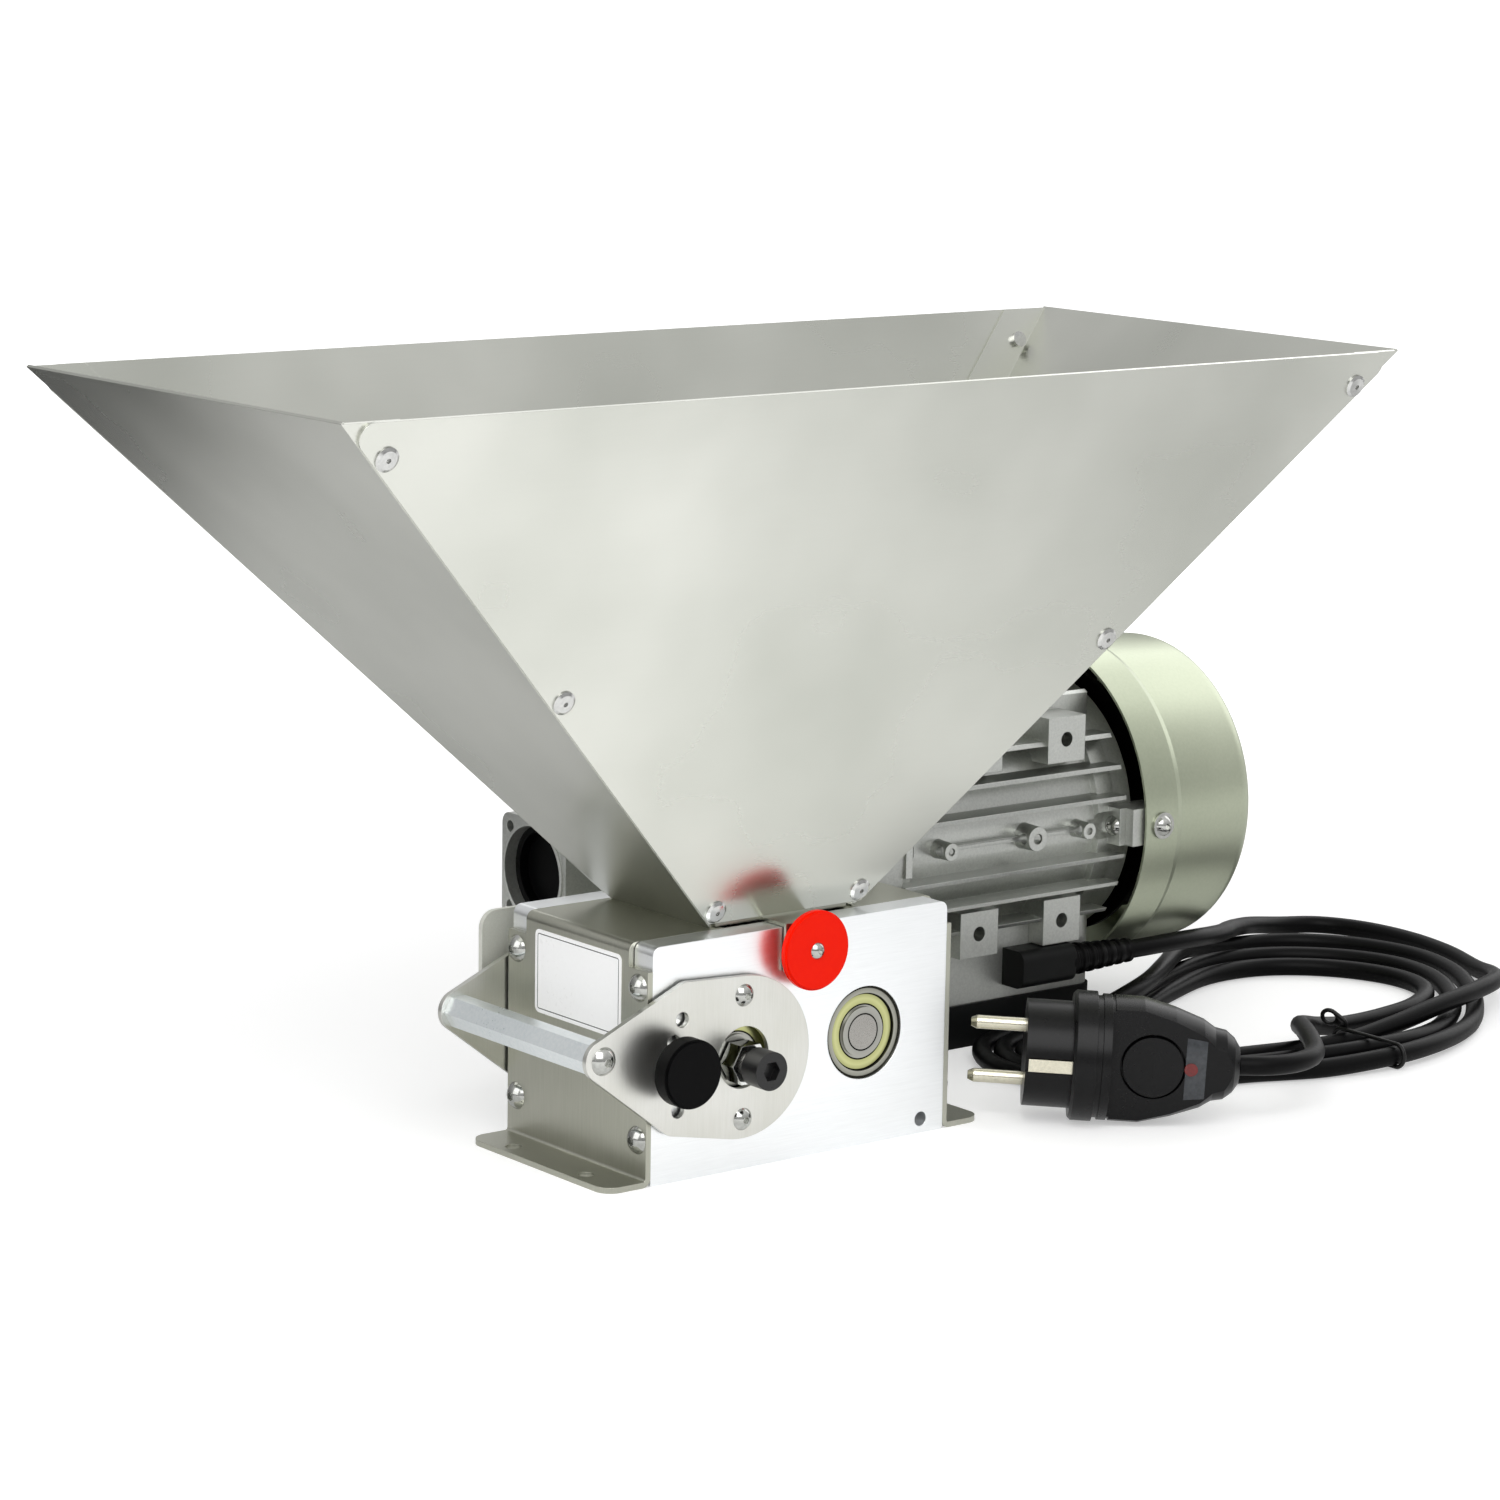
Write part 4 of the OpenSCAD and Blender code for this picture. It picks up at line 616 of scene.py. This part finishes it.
# Bright nickel: the shiniest metal here, nearly a mirror.
bright_nickel = grained("bright_nickel_nut", ("#c4c6c4", "#dfe1df"), (0.08, 0.16), 1.5, 0.003,
                        metallic=1.0, edge=0.15)
dress(bright_nickel, "shaft_nut")
# Moulded phenolic: deep matt black.
black_phenolic = grained("matt_black_phenolic", ("#030303", "#070708"), (0.35, 0.48), 0.8, 0.015,
                         specular=0.06, edge=0.4)
dress(black_phenolic, "lock_knob")
# Blackened steel: dark grey with a dull metal sheen.
black_oxide = grained("black_oxide_screw_steel", ("#0d0d0e", "#1b1b1c"), (0.25, 0.4), 0.8, 0.01,
                      specular=0.4, edge=0.2)
dress(black_oxide, "shaft_cap")

# ---- Feed gate ----
# A stainless slide lies under the hopper. A polypropylene knob is screwed to its front
# tongue, over a black spacer.

dress(satin_steel, "feed_gate")
# The spacer is moulded like the lock knob, in the same deep matt black.
dress(black_phenolic, "gate_spacer")
# Moulded polypropylene: a strong orange-red with a waxy, low gloss.
red_plastic = grained("orange_red_polypropylene", ("#fb1600", "#ff2000"), (0.3, 0.42), 1.5,
                      0.006, specular=0.1, edge=0.3)
dress(red_plastic, "gate_knob")

# ---- Gearbox ----
# A worm gearbox in a die-cast aluminium housing, with a bronze worm wheel and a rubber end
# cap. It is bolted to a sheet plate, which stands on spacers behind the rear plate.

# Pressure die-cast aluminium, shot-blasted: neutral grey, with a fine even grain.
cast_aluminium = grained("shot_blasted_cast_aluminium", ("#b4b6b2", "#d2d4cf"), (0.36, 0.48),
                         0.9, 0.05, metallic=0.85, edge=0.45)
dress(cast_aluminium, "gear_housing", "gear_cover")
# The rubber cap is as black and matt as the moulded knobs.
dress(black_phenolic, "gear_cap")
dress(roller_steel, "worm")
dress(zinc, "mount_spacers")
# Machined bronze: brown-gold, with a satin face.
bronze = grained("machined_bronze", ("#9a6b2c", "#b98a45"), (0.25, 0.4), 0.6, 0.01, metallic=1.0)
dress(bronze, "worm_wheel")
# Bead-blasted stainless sheet: a light, flat grey.
mount_sheet = grained("blasted_stainless_sheet", ("#d2d3c9", "#e0e1d9"), (0.4, 0.5), 0.6, 0.004,
                      metallic=0.3, edge=0.25)
dress(mount_sheet, "mount_plate")

# ---- Motor ----
# A finned frame, cast in aluminium and closed by two cast end shields, round a laminated
# stator. The fan at the rear is plastic, under a pressed and passivated sheet cover.

# Aluminium as it comes from the die: a little glossier than the blasted housing.
fin_aluminium = grained("as_cast_aluminium_fins", ("#b2b4b0", "#d0d2cd"), (0.28, 0.38), 0.9,
                        0.04, metallic=0.95, edge=0.35)
dress(fin_aluminium, "motor_frame")
dress(cast_aluminium, "front_shield", "rear_shield")
# Stacked steel laminations: dark, with fine lines across the stack.
lamination = grained("lamination_steel", ("#4c4a48", "#64605c"), (0.4, 0.6), 0.5, 0.02,
                     metallic=0.8, stretch=(1, 20, 20))
dress(lamination, "stator")
# The fan's plastic is as black and matt as the moulded knobs.
dress(black_phenolic, "fan")
dress(roller_steel, "rotor")
dress(shaft_steel, "motor_bearings")
# Passivated steel sheet: pale sage green with a broad metallic sheen.
sage_sheet = grained("sage_passivated_sheet", ("#a9b09a", "#bfc5b0"), (0.32, 0.42), 1.2, 0.004,
                     metallic=0.95, edge=0.25, cloud=80, share=0.7)
dress(sage_sheet, "fan_cover")

# ---- Terminal box ----
# A cast aluminium box under the motor, with a lid and a cord gland moulded in black
# glass-filled plastic.

dress(cast_aluminium, "terminal_box")
# Moulded in a spark-eroded tool: black, with a fine matt texture.
textured_plastic = grained("textured_black_plastic", ("#060707", "#0e0f0f"), (0.4, 0.55), 1.0,
                           0.04, specular=0.18, edge=0.4)
dress(textured_plastic, "terminal_lid", "cable_gland")

# ---- Screws ----
# Button-head, pan-head and cap screws of stainless steel, polished. They hold the panels,
# the levers, the bar, the gate's knob, the gearbox and its cover, the shields and the fan cover.

# Polished stainless steel: small sharp highlights on darker domes.
bright_steel = grained("polished_stainless_screws", ("#9fa09c", "#c4c5c1"), (0.1, 0.18), 1.5,
                       0.003, metallic=1.0, edge=0.12)
dress(bright_steel, "panel_screws", "lever_screws", "handle_screws", "gate_screw",
      "mount_screws", "gear_cover_screws", "shield_bolts", "fan_cover_screws", "lock_screw")
